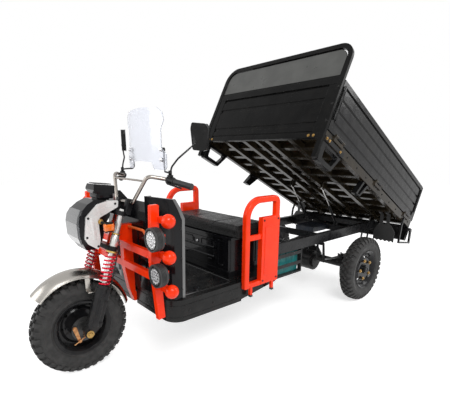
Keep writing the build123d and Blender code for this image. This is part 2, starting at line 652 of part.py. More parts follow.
def footboard_solid():
    """The floor tray: a rounded front, skirts all round with two pressed bands, and a slot for the neck."""
    tray = block(floor_step_x, floor_front_x, -floor_half_width, floor_half_width, floor_bottom, floor_top)
    corners = tray.edges().filter_by(Axis.Z).group_by(Axis.X)[-1]
    tray = fillet(corners, floor_corner_radius)
    inner = block(floor_step_x - 1, floor_front_x - floor_skin, -floor_half_width + floor_skin,
                  floor_half_width - floor_skin, floor_bottom - 1, floor_top - floor_skin)
    inner = fillet(inner.edges().filter_by(Axis.Z).group_by(Axis.X)[-1], floor_corner_radius - floor_skin)
    tray -= inner
    tray -= block(floor_front_x - 40, floor_front_x + 1, -neck_half - 2, neck_half + 2, floor_bottom - 1, 135)
    for z in (floor_bottom + 26, floor_top - 34):
        band = block(floor_step_x + 30, floor_front_x + 10, -500, 500, z, z + 7)
        core = block(0, floor_front_x - 2.5, -floor_half_width + 2.5, floor_half_width - 2.5, z - 1, z + 8)
        core = fillet(core.edges().filter_by(Axis.Z).group_by(Axis.X)[-1], floor_corner_radius - 2.5)
        tray -= band - core
    tray += block(floor_rear_x, floor_step_x, -narrow_half, narrow_half, floor_top - floor_skin, floor_top)
    rear_skirt = side_prism([(floor_rear_x, floor_top - 80), (floor_rear_x, floor_top), (floor_step_x, floor_top),
                             (floor_step_x, floor_bottom)], narrow_half - floor_skin, narrow_half)
    return tray + both_sides(rear_skirt)


keep("footboard", footboard_solid())

box_top = seat_top - cushion_thickness - gap
door_y0, door_z0 = -220.0, floor_top + 100
door_y1, door_z1 = door_y0 + door_width, door_z0 + door_height


def seat_box_solid():
    """A hollow moulded box with a plinth, corner pillars, side recesses and a door opening."""
    half = seat_box_half_width
    box = block(seat_rear_x, seat_front_x, -half, half, floor_top, box_top)
    box = fillet(box.edges().filter_by(Axis.Z), 14)
    box += block(seat_rear_x, seat_front_x + 7, -half, half, floor_top + gap, floor_top + 44)
    box += block(seat_rear_x, seat_front_x + 7, -half - 20, half + 20, box_top - 16, box_top)
    for y0, y1 in ((-half + 6, -half + 60), (half - 60, half - 6)):
        box += block(seat_front_x - 4, seat_front_x + 6, y0, y1, floor_top + 30, box_top - 8)
    for side in (-1, 1):
        box -= block(seat_rear_x + 60, seat_front_x - 60, side * (half - 5), side * (half + 1), floor_top + 70,
                     box_top - 50)
    box -= block(seat_rear_x + box_wall, seat_front_x - box_wall, -half + box_wall, half - box_wall,
                 floor_top + box_wall, box_top - box_wall)
    return box - block(seat_front_x - box_wall - 1, seat_front_x + 1, door_y0, door_y1, door_z0, door_z1)


keep("seat_box", seat_box_solid())

door_barrel_radius = 5.0
door_axis_x = seat_front_x + door_barrel_radius + gap
door_axis_z = door_z0 - 6
seat_door = block(seat_front_x - 12, seat_front_x + 4, door_y0 + door_gap, door_y1 - door_gap, door_z0 + door_gap,
                  door_z1 - door_gap)
door_y = (door_y0 + door_y1) / 2
seat_door -= block(seat_front_x, seat_front_x + 5, door_y - 40, door_y + 40, door_z1 - 60, door_z1 - 25)
seat_door += block(seat_front_x - 4, seat_front_x + 3, door_y - 12, door_y + 12, door_z1 - 55, door_z1 - 30)
for barrel_y in (door_y0 + 40, door_y1 - 80):
    seat_door += Pos(door_axis_x, 0, door_axis_z) * disc(door_barrel_radius, barrel_y, barrel_y + 40)
    seat_door += block(seat_front_x + gap, seat_front_x + 4, barrel_y, barrel_y + 40, door_axis_z, door_z0 + 12)
keep("seat_box_door", seat_door)

cushion = block(seat_rear_x - 30, seat_front_x + 10, -seat_half_width, seat_half_width, seat_top - cushion_thickness,
                seat_top)
cushion = fillet(cushion.edges().filter_by(Axis.Z), 30)
cushion = fillet(cushion.edges().group_by(Axis.Z)[-1], 18)
keep("seat_cushion", cushion)


# ---- side guards ---------------------------------------------------------------------------------
def guard_solid():
    """The left guard: a bent hoop of box tube, a crossbar, a box panel below and two feet."""
    y0, y1 = guard_outer_y - guard_tube, guard_outer_y
    middle_y, half = (y0 + y1) / 2, guard_tube / 2
    rear, front, top = guard_rear_x + half, guard_front_x - half, guard_top - half
    path = FilletPolyline((rear, middle_y, guard_bottom), (rear, middle_y, top), (front, middle_y, top),
                          (front, middle_y, guard_bottom), radius=[half + 12, guard_corner_radius - half])
    tube = Plane(origin=path @ 0, z_dir=path % 0) * RectangleRounded(guard_tube, guard_tube, 9)
    hoop = sweep(tube, path=path)
    hoop += block(rear, front, y0 + 4, y1 - 4, guard_bottom, guard_bottom + 30)
    hoop += block(guard_rear_x + guard_panel_length - 2, front, y0 + 8, y1 - 8, 446, 478)
    panel = block(guard_rear_x + 2, guard_rear_x + guard_panel_length, y0 + 2, y1, guard_bottom + 2, guard_panel_top)
    panel = fillet(panel.edges().filter_by(Axis.X), 6)
    inset = 26
    embossed = block(guard_rear_x + inset, guard_rear_x + guard_panel_length - inset, y1 - 2, y1 + 3,
                     guard_bottom + 60, guard_panel_top - 60)
    hoop += panel + fillet(embossed.edges().filter_by(Axis.Y), 14)
    for x in (guard_rear_x + 40, guard_front_x - 70):
        hoop += block(x, x + 18, y1 - 22, y1 - 2, guard_foot_bottom, guard_bottom + 10)
    return hoop


guard = guard_solid()
keep("side_guard_left", guard)
keep("side_guard_right", mirror(guard, about=Plane.XZ))

# ---- batteries and their rack --------------------------------------------------------------------
tray_skin = 12.0
hanger_y = rack_half_width - 30
rack = block(rack_rear_x, rack_front_x, -rack_half_width, rack_half_width, rack_bottom, rack_bottom + tray_skin)
for x in (rack_rear_x, rack_front_x - 12):
    rack += both_sides(block(x, x + 12, hanger_y, rack_half_width, rack_bottom, rail_bottom))
for z in (rack_bottom + 70, rail_bottom - 40):
    rack += both_sides(block(rack_rear_x, rack_front_x, rack_half_width - 6, rack_half_width, z, z + 26))
keep("battery_rack", rack)

bay_start, bay_end = rack_rear_x + 14, rack_front_x - 14
battery_length = (bay_end - bay_start + 4) / battery_count - 4
batteries = []
for k in range(battery_count):
    x = bay_start + k * (battery_length + 4)
    case = block(x, x + battery_length, -hanger_y + 5, hanger_y - 5, rack_bottom + tray_skin + gap, rail_bottom - 14)
    case = chamfer(case.edges().group_by(Axis.Z)[-1], 5)
    for y in (-200, 0, 200):
        case += Pos(x + battery_length / 2, y, rail_bottom - 14) * extrude(Circle(13), 8)
    batteries.append(case)
keep("batteries", Compound(children=batteries))

# ---- rear axle, brakes and springs ---------------------------------------------------------------
axle_y = rear_wheel_y - bead_half - 10
axle_profile = Polyline((0, -axle_y), (axle_tube_radius, -axle_y), (axle_tube_radius, -110), (70, -90), (104, -45),
                        (108, -12), (108, 12), (100, 45), (64, 85), (axle_tube_radius, 105),
                        (axle_tube_radius, axle_y), (0, axle_y), close=True)
axle = revolve(make_face(axle_profile), Axis.Y)
axle += disc(axle_radius, -rear_wheel_y - 52, rear_wheel_y + 52)
axle += disc(112, -6, 6)
for side in (-1, 1):
    axle += disc(96, side * (axle_y - 16), side * (axle_y + 1))
motor = Pos(156, 0, 14) * (disc(88, -40, 150) + disc(94, -46, -34) + disc(60, 150, 166))
axle += motor + block(60, 150, -40, 40, -46, 50)
rod_y = rack_half_width - 22
axle += link([(0, -108, 9), (0, -40, 16)], rod_y - 4, rod_y + 4)
keep("rear_axle", axle)

leaf_sag = 30.0


def leaf_solid():
    """The left leaf spring with its U-bolts, saddle and shackles up to the rail."""
    y0, y1 = leaf_y - leaf_width / 2, leaf_y + leaf_width / 2
    spring = None
    for k, half_length in enumerate((350, 262, 190, 120)):
        z = axle_tube_radius + 10 + leaf_thickness * (3 - k)
        rise = leaf_sag * (half_length / 350) ** 2
        top = z + leaf_thickness
        arc = ThreePointArc((-half_length, 0, z + rise), (0, 0, z), (half_length, 0, z + rise))
        arc += Line((half_length, 0, z + rise), (half_length, 0, top + rise))
        arc += ThreePointArc((half_length, 0, top + rise), (0, 0, top), (-half_length, 0, top + rise))
        arc += Line((-half_length, 0, top + rise), (-half_length, 0, z + rise))
        leaf = Pos(0, y0, 0) * extrude(make_face(arc), leaf_width, dir=(0, 1, 0))
        spring = leaf if spring is None else spring + leaf
    eye_z = axle_tube_radius + 10 + 3 * leaf_thickness + leaf_sag + 4
    for x in (-350, 350):
        spring += Pos(x, 0, eye_z) * disc(15, y0, y1)
        spring += link([(x, eye_z, 16), (x * 1.06, rail_bottom - 12, 12)], y1 + 1, y1 + 7) 
        spring += link([(x, eye_z, 16), (x * 1.06, rail_bottom - 12, 12)], y0 - 7, y0 - 1)
        spring += Pos(x, 0, eye_z) * disc(7, y0 - 7, y1 + 7)
    for x in (-371, 371):
        spring += Pos(x, 0, rail_bottom - 12) * disc(7, y0 - 7, y1 + 7)
        spring += block(x - 16, x + 16, y0 + 2, y1 - 2, rail_bottom - 20, rail_bottom)
    saddle_top = axle_tube_radius + 10.1
    spring += block(-32, 32, y0 - 4, y1 + 4, axle_tube_radius - 10, saddle_top) - disc(axle_tube_radius, 0, 500)
    for x in (-22, 22):
        for y in (y0 - 5, y1 + 5):
            spring += block(x - 5, x + 5, y - 5, y + 5, axle_tube_radius - 20, saddle_top + 44) - disc(
                axle_tube_radius, 0, 500)
        spring += block(x - 5, x + 5, y0 - 10, y1 + 10, saddle_top + 36, saddle_top + 44)
    return spring


keep("leaf_springs", both_sides(leaf_solid()))

keep("controller_box", block(strut_foot_x - 9 + cross_tube + gap, 140, -100, 100, rail_top - 70, rail_top - 26))

conduit_x = bars_x - 43
conduit_points = [(conduit_x, neck_half + gap, 558), (conduit_x, 205, 562), (shield_x + 9 + gap, 226, 520)]
keep("wiring_conduit", bent_rod(conduit_points, 8, [16]))


# ---- bed -----------------------------------------------------------------------------------------
def bed_keep(name, shape):
    """Store a piece drawn in the bed's frame."""
    keep(name, bed_place * shape)


def bed_frame_solid():
    """Sills, bearers and cross ribs under the floor, the floor sheet and the hinge ears."""
    frame = both_sides(block(0, bed_length, half_bed - sill_width, half_bed, 0, bed_floor_w))
    frame += block(0, bed_length, -14, 14, 6, bed_floor_w - 16)
    for v in (120, rail_inner_y + 20):
        frame += both_sides(block(0, bed_length, v - 20, v + 20, 0, bed_floor_w - 16))
    for k in range(rib_count):
        u = k * (bed_length - rib_width) / (rib_count - 1)
        frame += block(u, u + rib_width, -half_bed + sill_width - 1, half_bed - sill_width + 1, 20, bed_floor_w)
    frame += block(0, bed_length, -half_bed, half_bed, bed_floor_w - bed_sheet, bed_floor_w)
    ear = side_prism([(hinge_from_rear - 16, -hinge_drop - 14), (hinge_from_rear + 16, -hinge_drop - 14),
                      (hinge_from_rear + 30, 10), (hinge_from_rear - 30, 10)], rail_inner_y - 36, rail_inner_y - 24)
    ear += block(hinge_from_rear - 30, hinge_from_rear + 30, rail_inner_y - 36, rail_inner_y, 0, 10)
    frame += both_sides(ear)
    pin = disc(hinge_pin_radius, rail_inner_y - 34, rail_inner_y + 8)
    return frame + both_sides(Pos(hinge_from_rear, 0, -hinge_drop) * pin)


knuckle_v = half_bed + knuckle_offset
gate_u0 = -6.0 - panel_thickness
gate_axis_u = gate_u0 - knuckle_offset
side_hinge_us = (160.0, bed_length / 2, bed_length - 153.0)
gate_hinge_vs = (-0.73 * half_bed, 0.0, 0.73 * half_bed)
knuckle_end = 2 * knuckle_half + 2


def sleeve_u(u, v, w, half):
    """A round sleeve along u at one side hinge."""
    return Pos(u - half, v, w) * Rot(0, 90, 0) * extrude(Circle(knuckle_radius), 2 * half)


def side_hinge_bed(u):
    """Two bed knuckles beside a side panel's knuckle, with the pin through all three."""
    solid = sleeve_u(u, knuckle_v, panel_hinge_w, knuckle_end)
    solid += block(u - knuckle_end, u + knuckle_end, half_bed - 4, knuckle_v, bed_floor_w - 24, panel_hinge_w - 2)
    solid -= block(u - knuckle_half - 1, u + knuckle_half + 1, half_bed - 4, half_bed + 60, bed_floor_w - 2,
                   panel_hinge_w + 20)
    pin = Pos(u - 60, knuckle_v, panel_hinge_w) * Rot(0, 90, 0) * extrude(Circle(knuckle_pin_radius), 120)
    return solid + pin


def side_hinge_panel(u):
    """A side panel's knuckle and its strap."""
    solid = sleeve_u(u, knuckle_v, panel_hinge_w, knuckle_half)
    solid += block(u - knuckle_half, u + knuckle_half, half_bed - 6, knuckle_v, panel_hinge_w, panel_hinge_w + 8)
    bore = Pos(u - 70, knuckle_v, panel_hinge_w) * Rot(0, 90, 0) * extrude(Circle(knuckle_pin_radius + pin_gap), 140)
    return solid - bore


def gate_hinge_bed(v):
    """Two bed knuckles beside a tailgate knuckle, with the pin through all three."""
    at_axis = Pos(gate_axis_u, v, panel_hinge_w)
    solid = at_axis * disc(knuckle_radius, -knuckle_end, knuckle_end)
    solid += block(gate_axis_u, 2, v - knuckle_end, v + knuckle_end, bed_floor_w - 24, bed_floor_w - 4)
    solid += block(gate_axis_u - 5, gate_axis_u + 5, v - knuckle_end, v + knuckle_end, bed_floor_w - 24,
                   panel_hinge_w - 2)
    solid -= block(gate_axis_u - 30, gate_u0 + 2, v - knuckle_half - 1, v + knuckle_half + 1, bed_floor_w - 2,
                   panel_hinge_w + 20)
    return solid + at_axis * disc(knuckle_pin_radius, -60, 60)


def gate_hinge_panel(v):
    """A tailgate knuckle and its strap."""
    at_axis = Pos(gate_axis_u, v, panel_hinge_w)
    solid = at_axis * disc(knuckle_radius, -knuckle_half, knuckle_half)
    solid += block(gate_axis_u, gate_u0 + 6, v - knuckle_half, v + knuckle_half, panel_hinge_w, panel_hinge_w + 8)
    return solid - at_axis * disc(knuckle_pin_radius + pin_gap, -70, 70)


def strut_bracket():
    """Ears under the bearers that take the left strut's head."""
    head_u = (strut_head_x - bed_rear_x) * math.cos(tip) + (strut_head_z - bed_rear_z) * math.sin(tip)
    head_w = -(strut_head_x - bed_rear_x) * math.sin(tip) + (strut_head_z - bed_rear_z) * math.cos(tip)
    ear = side_prism([(head_u - 14, head_w - 10), (head_u + 14, head_w - 10), (head_u + 26, 22), (head_u - 26, 22)],
                     -3, 3)
    ear -= Pos(head_u, 0, head_w) * disc(strut_eye_radius, -20, 20)
    ears = Pos(0, strut_foot_y - 11, 0) * ear + Pos(0, strut_foot_y + 11, 0) * ear
    return ears + block(head_u - 26, head_u + 26, 139, strut_foot_y + 14, 20, 30)


bed_frame = bed_frame_solid() + both_sides(strut_bracket())
for hinge_u in side_hinge_us:
    bed_frame += both_sides(side_hinge_bed(hinge_u))
for hinge_v in gate_hinge_vs:
    bed_frame += gate_hinge_bed(hinge_v)
bed_keep("bed_frame", bed_frame)

head_u0 = bed_length + gap
head_u1 = head_u0 + headboard_depth
stile_width = 62.0


def hoop_plate(inset, u0, u1, foot, radius):
    """A plate across the bed with rounded top corners, set in from the headboard's outline."""
    plate = block(u0, u1, -half_bed + inset, half_bed - inset, foot, headboard_top - inset)
    corners = plate.edges().filter_by(Axis.X).group_by(Axis.Z)[-1]
    return fillet(corners, radius)


def headboard_solid():
    """Hoop of box tube with its feet, a smooth upper board, and a framed lower board with pressed ridges."""
    hoop = hoop_plate(0, head_u0, head_u1, -headboard_foot, hoop_corner_radius)
    hoop -= hoop_plate(hoop_width, head_u0 - 1, head_u1 + 1, -headboard_foot - 1, hoop_corner_radius - hoop_width)
    board_half = half_bed - hoop_width + 1
    sheet_u0, sheet_u1 = head_u0 + 5, head_u0 + 9
    board = hoop_plate(hoop_width + 8, sheet_u0 + 4, sheet_u1 + 4, 440, hoop_corner_radius - hoop_width - 8)
    for v in (-300, 0, 300):
        board += block(sheet_u0 + 4, sheet_u1 + 4, v - 20, v + 20, headboard_top - hoop_width - 10,
                       headboard_top - hoop_width + 1)
    board += block(sheet_u0, sheet_u1, -board_half, board_half, 4, 450)
    for w0, w1 in ((0, 34), (388, 436)):
        board += block(head_u0 + 2, head_u1 - 2, -board_half, board_half, w0, w1)
    for side in (-1, 1):
        board += block(head_u0 + 2, head_u1 - 4, side * (board_half - stile_width), side * board_half, 0, 436)
    ridge_half = board_half - stile_width + 2
    for w0, w1 in ((292, 366), (118, 270), (50, 92)):
        ridge = front_prism([(-ridge_half, w0), (ridge_half, w0), (ridge_half, w1), (-ridge_half, w1)], sheet_u0 + 2,
                            sheet_u1 + 7)
        board += chamfer(ridge.edges().group_by(Axis.X)[-1], 5)
    return hoop + board


bed_keep("headboard", headboard_solid())


def bed_bracket_solid():
    """The left brackets: a loop behind the headboard's foot with its corner plate, and a leaning wedge."""
    front = bed_length - 4
    v0, v1 = half_bed - 48, half_bed - 6
    loop = side_prism([(front, -gap), (front - 10, -136), (front - 190, -136), (front - 262, -gap)], v0, v1)
    loop -= side_prism([(front - 44, -22), (front - 50, -106), (front - 178, -106), (front - 226, -22)], v0 - 1, v1 + 1)
    loop = fillet(loop.edges().filter_by(Axis.Y), 9)
    plate = block(front - 262, front, half_bed + gap, half_bed + 4, 2, 32)
    plate += block(front - 262, front - 200, half_bed - 20, half_bed + 4, -4 - gap, -gap)
    plate += block(front - 262, front - 200, half_bed + gap, half_bed + 4, -4 - gap, 3)
    wedge_front = bed_length - 652
    wedge = side_prism([(wedge_front - 96, -gap), (wedge_front, -gap), (wedge_front + 52, -118),
                        (wedge_front - 14, -118)], v0, v1)
    wedge -= side_prism([(wedge_front - 70, 0), (wedge_front - 22, 0), (wedge_front + 28, -110),
                         (wedge_front, -110)], v0 + 8, v1 + 1)
    return loop + plate, wedge


bed_loop, bed_wedge = bed_bracket_solid()
bed_keep("bed_brackets", both_sides(bed_loop) + both_sides(bed_wedge))


def mud_flap_solid():
    """The left mud flap on two straps under a cross rib, upright when the bed is tipped."""
    top, bottom, teeth = -68.0, -232.0, 5
    outline = [(-56, top), (56, top), (98, top - 64), (98, bottom + 12)]
    for k in range(2 * teeth + 1):
        outline.append((98 - 196 * k / (2 * teeth), bottom + (12 if k % 2 else 0)))
    outline += [(-98, bottom + 12), (-98, top - 64)]
    flap = front_prism(outline, -4, 4)
    for v in (-38, 26):
        flap += block(-9, -4, v - 16, v + 16, top - 24, 22)
    flap = Pos(flap_u, flap_v, -60) * Rot(0, bed_tip, 0) * Pos(0, 0, 60) * flap
    flap &= block(0, bed_length, 0, half_bed, -400, 20 - gap)
    for v in (-38, 26):
        flap += block(flap_u + 32, flap_u + 86, flap_v + v - 16, flap_v + v + 16, 15 - gap, 20 - gap)
    return flap


bed_keep("mud_flaps", both_sides(mud_flap_solid()))


def tail_board_solid():
    """A folded plate across the bed's rear, below the floor, for the tail lamps."""
    v_half = half_bed - 4
    board = block(-30, -27, -v_half, v_half, -tail_board_depth, -2)
    board += block(-30, -8, -v_half, v_half, -tail_board_depth, -tail_board_depth + 3)
    board += block(-30, 60, -v_half, v_half, -3 - gap, -gap)
    for side in (-1, 1):
        board += block(-30, 8, side * (v_half - 3), side * v_half, -tail_board_depth, -gap)
        for v in (300, 470):
            board -= Pos(-30, side * v, -70) * Rot(0, 90, 0) * extrude(Circle(6), 30, both=True)
    post_v0, post_v1 = half_bed + 1, half_bed + 16
    post = side_prism([(-8, -2), (-44, -2), (-102, -132), (-78, -132)], post_v0, post_v1)
    post += block(-42, -8, v_half - 3, post_v1, -26, -2)
    post += link([(-90, -124, 8), (140, -198, 8)], post_v0, post_v1)
    post += link([(140, -198, 8), (196, -46, 8)], post_v0, post_v1)
    post += link([(196, -46, 8), (196, 20, 8)], half_bed + gap, post_v1)
    return board + both_sides(post)


bed_keep("tail_board", tail_board_solid())
tail_lamp = Pos(-30 - gap, 385, -66) * Rot(0, -90, 0) * extrude(RectangleRounded(64, 168, 12), 22)
bed_keep("tail_lamps", both_sides(chamfer(tail_lamp.edges().group_by(Axis.X)[0], 4)))


def pressed_panel(length, height):
    """A sheet with a box frame and three long pressed recesses, from its lower corner along X and Z."""
    panel = block(0, length, 9, panel_thickness - 9, 0, height)
    for w in (0, height - 34):
        panel += block(0, length, 0, panel_thickness, w, w + 34)
    for u in (0, length - 30):
        panel += block(u, u + 30, 0, panel_thickness, 0, height)
    for share in (0.30, 0.53, 0.76):
        middle = share * height
        field = front_prism([(9, middle - 36), (panel_thickness - 9, middle - 36), (panel_thickness, middle - 29),
                             (panel_thickness, middle + 29), (panel_thickness - 9, middle + 36), (9, middle + 36),
                             (0, middle + 29), (0, middle - 29)], 44, length - 44)
        panel += field
    return panel


panel_w0 = bed_floor_w + 12


def side_panel():
    """The left drop side, hinged along its lower edge, with a latch post at its front."""
    length = bed_length - 10
    panel = Pos(4, half_bed - panel_thickness, panel_w0) * pressed_panel(length, bed_side_top - panel_w0)
    for u in side_hinge_us:
        panel += side_hinge_panel(u)
    for u in (length - 12, 20):
        latch = Pos(u, half_bed + 6, 150) * extrude(Circle(7), bed_side_top - 190)
        for w in (170, bed_side_top - 70):
            latch += block(u - 11, u + 11, half_bed - 2, half_bed + 9, w, w + 24)
        panel += latch
    return panel


panel = side_panel()
bed_keep("side_left", panel)
bed_keep("side_right", mirror(panel, about=Plane.XZ))


def tailgate_solid():
    """The tailgate, hinged along its lower edge behind the floor."""
    v_half = half_bed - 4
    gate = Pos(gate_u0 + panel_thickness, -v_half, panel_w0) * Rot(0, 0, 90) * pressed_panel(
        2 * v_half, bed_side_top - panel_w0)
    for v in gate_hinge_vs:
        gate += gate_hinge_panel(v)
    return gate


bed_keep("tailgate", tailgate_solid())

# ---- bed struts ----------------------------------------------------------------------------------
foot = Vector(strut_foot_x, strut_foot_y, strut_foot_z)
head = Vector(strut_head_x, strut_foot_y, strut_head_z)
strut_dir = (head - foot).normalized()
strut_length = (head - foot).length
strut_tube = rod(foot + strut_dir * 12, foot + strut_dir * (strut_length * 0.52), strut_tube_radius)
strut_tube -= rod(foot + strut_dir * 30, foot + strut_dir * strut_length, strut_rod_radius + 0.5)
strut_tube += Pos(foot) * disc(11, -8, 8) + rod(foot, foot + strut_dir * 30, strut_eye_radius)
strut_tube -= Pos(foot) * disc(strut_eye_radius + pin_gap, -20, 20)
keep("strut_tubes", both_sides(strut_tube))
strut_rod = rod(foot + strut_dir * (strut_length * 0.3), foot + strut_dir * (strut_length - 8), strut_rod_radius)
strut_rod += Pos(head) * disc(10, -6, 6)
keep("strut_rods", both_sides(strut_rod))

os.makedirs("parts", exist_ok=True)
for name, shape in parts.items():
    export_step(shape, os.path.join("parts", name + ".step"))
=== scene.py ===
"""The cargo tricycle's looks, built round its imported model. Lengths are in metres.

X is forward, Y is the rider's left and Z is up, with the origin on the ground in the middle of the vehicle.
"""
import json
import math

import bmesh
import bpy
from mathutils import Euler, Matrix, Vector


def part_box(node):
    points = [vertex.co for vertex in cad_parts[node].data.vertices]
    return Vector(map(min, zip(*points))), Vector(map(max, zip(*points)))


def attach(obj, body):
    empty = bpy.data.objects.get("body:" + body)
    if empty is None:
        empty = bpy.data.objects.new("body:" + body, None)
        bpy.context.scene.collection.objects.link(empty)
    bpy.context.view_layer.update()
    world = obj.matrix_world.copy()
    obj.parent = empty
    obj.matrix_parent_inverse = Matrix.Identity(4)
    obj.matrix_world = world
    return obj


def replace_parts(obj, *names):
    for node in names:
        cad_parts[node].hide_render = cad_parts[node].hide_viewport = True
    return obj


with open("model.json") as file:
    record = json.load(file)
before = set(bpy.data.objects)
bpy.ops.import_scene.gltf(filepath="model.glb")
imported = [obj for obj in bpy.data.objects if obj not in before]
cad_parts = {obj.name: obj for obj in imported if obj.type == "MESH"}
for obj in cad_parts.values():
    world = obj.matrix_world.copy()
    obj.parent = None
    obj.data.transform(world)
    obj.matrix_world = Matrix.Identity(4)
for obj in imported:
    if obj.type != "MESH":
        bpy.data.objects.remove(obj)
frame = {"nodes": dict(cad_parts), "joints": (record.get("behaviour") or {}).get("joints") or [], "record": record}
nodes = frame["nodes"]
joints = {joint["name"]: joint for joint in frame["joints"]}
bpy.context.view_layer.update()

# ---- Camera --------------------------------------------------------------------------------------
# A camera at head height, ahead of the vehicle and to its left, looking back along it.
# The small shifts place the vehicle in the picture as a cropped studio shot does.
camera_data = bpy.data.cameras.new("camera")
camera_data.lens = 28.66
camera_data.sensor_width = 36.0
camera_data.shift_x = 0.0203
camera_data.shift_y = 0.0871
camera = bpy.data.objects.new("camera", camera_data)
camera.location = (2.0960, 2.0042, 1.2794)
camera.rotation_euler = Euler((math.pi / 2 - 0.2602, 0.0, -2.2712 - math.pi / 2), "XYZ")
bpy.context.scene.collection.objects.link(camera)
bpy.context.scene.camera = camera

# ---- Studio --------------------------------------------------------------------------------------
# A white floor and a white surround, as in a product studio. The camera, clear pieces and polished pieces
# all see them plain white, and the light comes from three large soft lamps.
bpy.context.scene.view_settings.view_transform = "Standard"


def seen_directly(tree):
    """1 for camera, glossy and transmission rays, and 0 for light that falls on surfaces."""
    path = tree.nodes.new("ShaderNodeLightPath")
    total = path.outputs["Is Camera Ray"]
    for ray in ("Is Glossy Ray", "Is Transmission Ray"):
        larger = tree.nodes.new("ShaderNodeMath")
        larger.operation = "MAXIMUM"
        tree.links.new(total, larger.inputs[0])
        tree.links.new(path.outputs[ray], larger.inputs[1])
        total = larger.outputs[0]
    return total


world = bpy.data.worlds.new("studio")
world.use_nodes = True
sky_tree = world.node_tree
sky = sky_tree.nodes["Background"]
sky.inputs["Color"].default_value = (1.0, 1.0, 1.0, 1.0)
sky_strength = sky_tree.nodes.new("ShaderNodeMapRange")
sky_strength.inputs["To Min"].default_value = 0.55
sky_strength.inputs["To Max"].default_value = 1.0
sky_tree.links.new(seen_directly(sky_tree), sky_strength.inputs["Value"])
sky_tree.links.new(sky_strength.outputs["Result"], sky.inputs["Strength"])
bpy.context.scene.world = world

floor_mesh = bmesh.new()
bmesh.ops.create_grid(floor_mesh, x_segments=1, y_segments=1, size=14.0)
floor_data = bpy.data.meshes.new("floor")
floor_mesh.to_mesh(floor_data)
floor_mesh.free()
floor = bpy.data.objects.new("floor", floor_data)
bpy.context.scene.collection.objects.link(floor)
floor_paint = bpy.data.materials.new("floor white")
floor_paint.use_nodes = True
floor_shader = floor_paint.node_tree.nodes["Principled BSDF"]
floor_shader.inputs["Base Color"].default_value = (0.72, 0.72, 0.72, 1.0)
floor_shader.inputs["Roughness"].default_value = 0.9
floor_shader.inputs["Emission Color"].default_value = (1.0, 1.0, 1.0, 1.0)
floor_glow = floor_paint.node_tree.nodes.new("ShaderNodeMath")
floor_glow.operation = "MULTIPLY"
floor_glow.inputs[1].default_value = 0.62
floor_paint.node_tree.links.new(seen_directly(floor_paint.node_tree), floor_glow.inputs[0])
floor_paint.node_tree.links.new(floor_glow.outputs[0], floor_shader.inputs["Emission Strength"])
floor_data.materials.append(floor_paint)


def soft_lamp(name, place, target, size, power):
    """A square area lamp aimed at a point."""
    data = bpy.data.lights.new(name, "AREA")
    data.size = size
    data.energy = power
    lamp = bpy.data.objects.new(name, data)
    lamp.location = place
    lamp.rotation_euler = (Vector(target) - Vector(place)).to_track_quat("-Z", "Y").to_euler()
    bpy.context.scene.collection.objects.link(lamp)


soft_lamp("key", (2.2, 3.6, 4.2), (0, 0, 0.8), 2.4, 165)
soft_lamp("fill", (4.6, -1.6, 2.6), (0.5, 0, 0.8), 2.6, 70)
soft_lamp("back", (-3.4, 2.4, 3.2), (-0.5, 0, 0.9), 2.4, 70)

# ---- Chassis -------------------------------------------------------------------------------------
# Welded box-section rails, the rear axle with its motor, leaf springs and the battery rack, all in satin
# black paint. Edges are lighter, partly paint worn thin and partly a painted highlight; the gloss is patchy and road
# dust sits on what is low down.


def material_with_shader(name, roughness=0.5, metallic=0.0):
    """A new material, its node tree and its one shader."""
    material = bpy.data.materials.new(name)
    material.use_nodes = True
    shader = material.node_tree.nodes["Principled BSDF"]
    shader.inputs["Roughness"].default_value = roughness
    shader.inputs["Metallic"].default_value = metallic
    return material, material.node_tree, shader


def link(tree, *pairs):
    """Link outputs to inputs, given in pairs."""
    for output, target in zip(pairs[::2], pairs[1::2]):
        tree.links.new(output, target)


def noise(tree, scale, detail=3.0, stretch=(1, 1, 1), turn=(0, 0, 0)):
    """Noise on the piece's own coordinates, as a value about 0.5, with scale features a metre."""
    coordinates = tree.nodes.new("ShaderNodeTexCoord")
    mapping = tree.nodes.new("ShaderNodeMapping")
    mapping.inputs["Scale"].default_value = stretch
    mapping.inputs["Rotation"].default_value = turn
    texture = tree.nodes.new("ShaderNodeTexNoise")
    texture.inputs["Scale"].default_value = scale
    texture.inputs["Detail"].default_value = detail
    link(tree, coordinates.outputs["Object"], mapping.inputs["Vector"], mapping.outputs["Vector"],
         texture.inputs["Vector"])
    return texture.outputs["Fac"]


def remap(tree, value, from_low, from_high, to_low, to_high):
    """A value moved from one range to another, and held inside it."""
    node = tree.nodes.new("ShaderNodeMapRange")
    node.inputs["From Min"].default_value = from_low
    node.inputs["From Max"].default_value = from_high
    node.inputs["To Min"].default_value = to_low
    node.inputs["To Max"].default_value = to_high
    link(tree, value, node.inputs["Value"])
    return node.outputs["Result"]


def blend_colours(tree, factor, first, second):
    """A mix of two colours; each is a colour or another node's output."""
    node = tree.nodes.new("ShaderNodeMix")
    node.data_type = "RGBA"
    link(tree, factor, node.inputs["Factor"])
    for socket, colour in ((node.inputs["A"], first), (node.inputs["B"], second)):
        if isinstance(colour, tuple):
            socket.default_value = (*colour, 1.0)
        else:
            link(tree, colour, socket)
    return node.outputs["Result"]


def combine(tree, operation, first, second):
    """A sum, product or the like of two values; the second may be a number."""
    node = tree.nodes.new("ShaderNodeMath")
    node.operation = operation
    link(tree, first, node.inputs[0])
    if isinstance(second, (int, float)):
        node.inputs[1].default_value = second
    else:
        link(tree, second, node.inputs[1])
    return node.outputs[0]


def bump(tree, height, depth, under=None):
    """A bumped normal, depth metres deep, laid over another normal."""
    node = tree.nodes.new("ShaderNodeBump")
    node.inputs["Distance"].default_value = depth
    node.inputs["Strength"].default_value = 1.0
    link(tree, height, node.inputs["Height"])
    if under is not None:
        link(tree, under, node.inputs["Normal"])
    return node.outputs["Normal"]


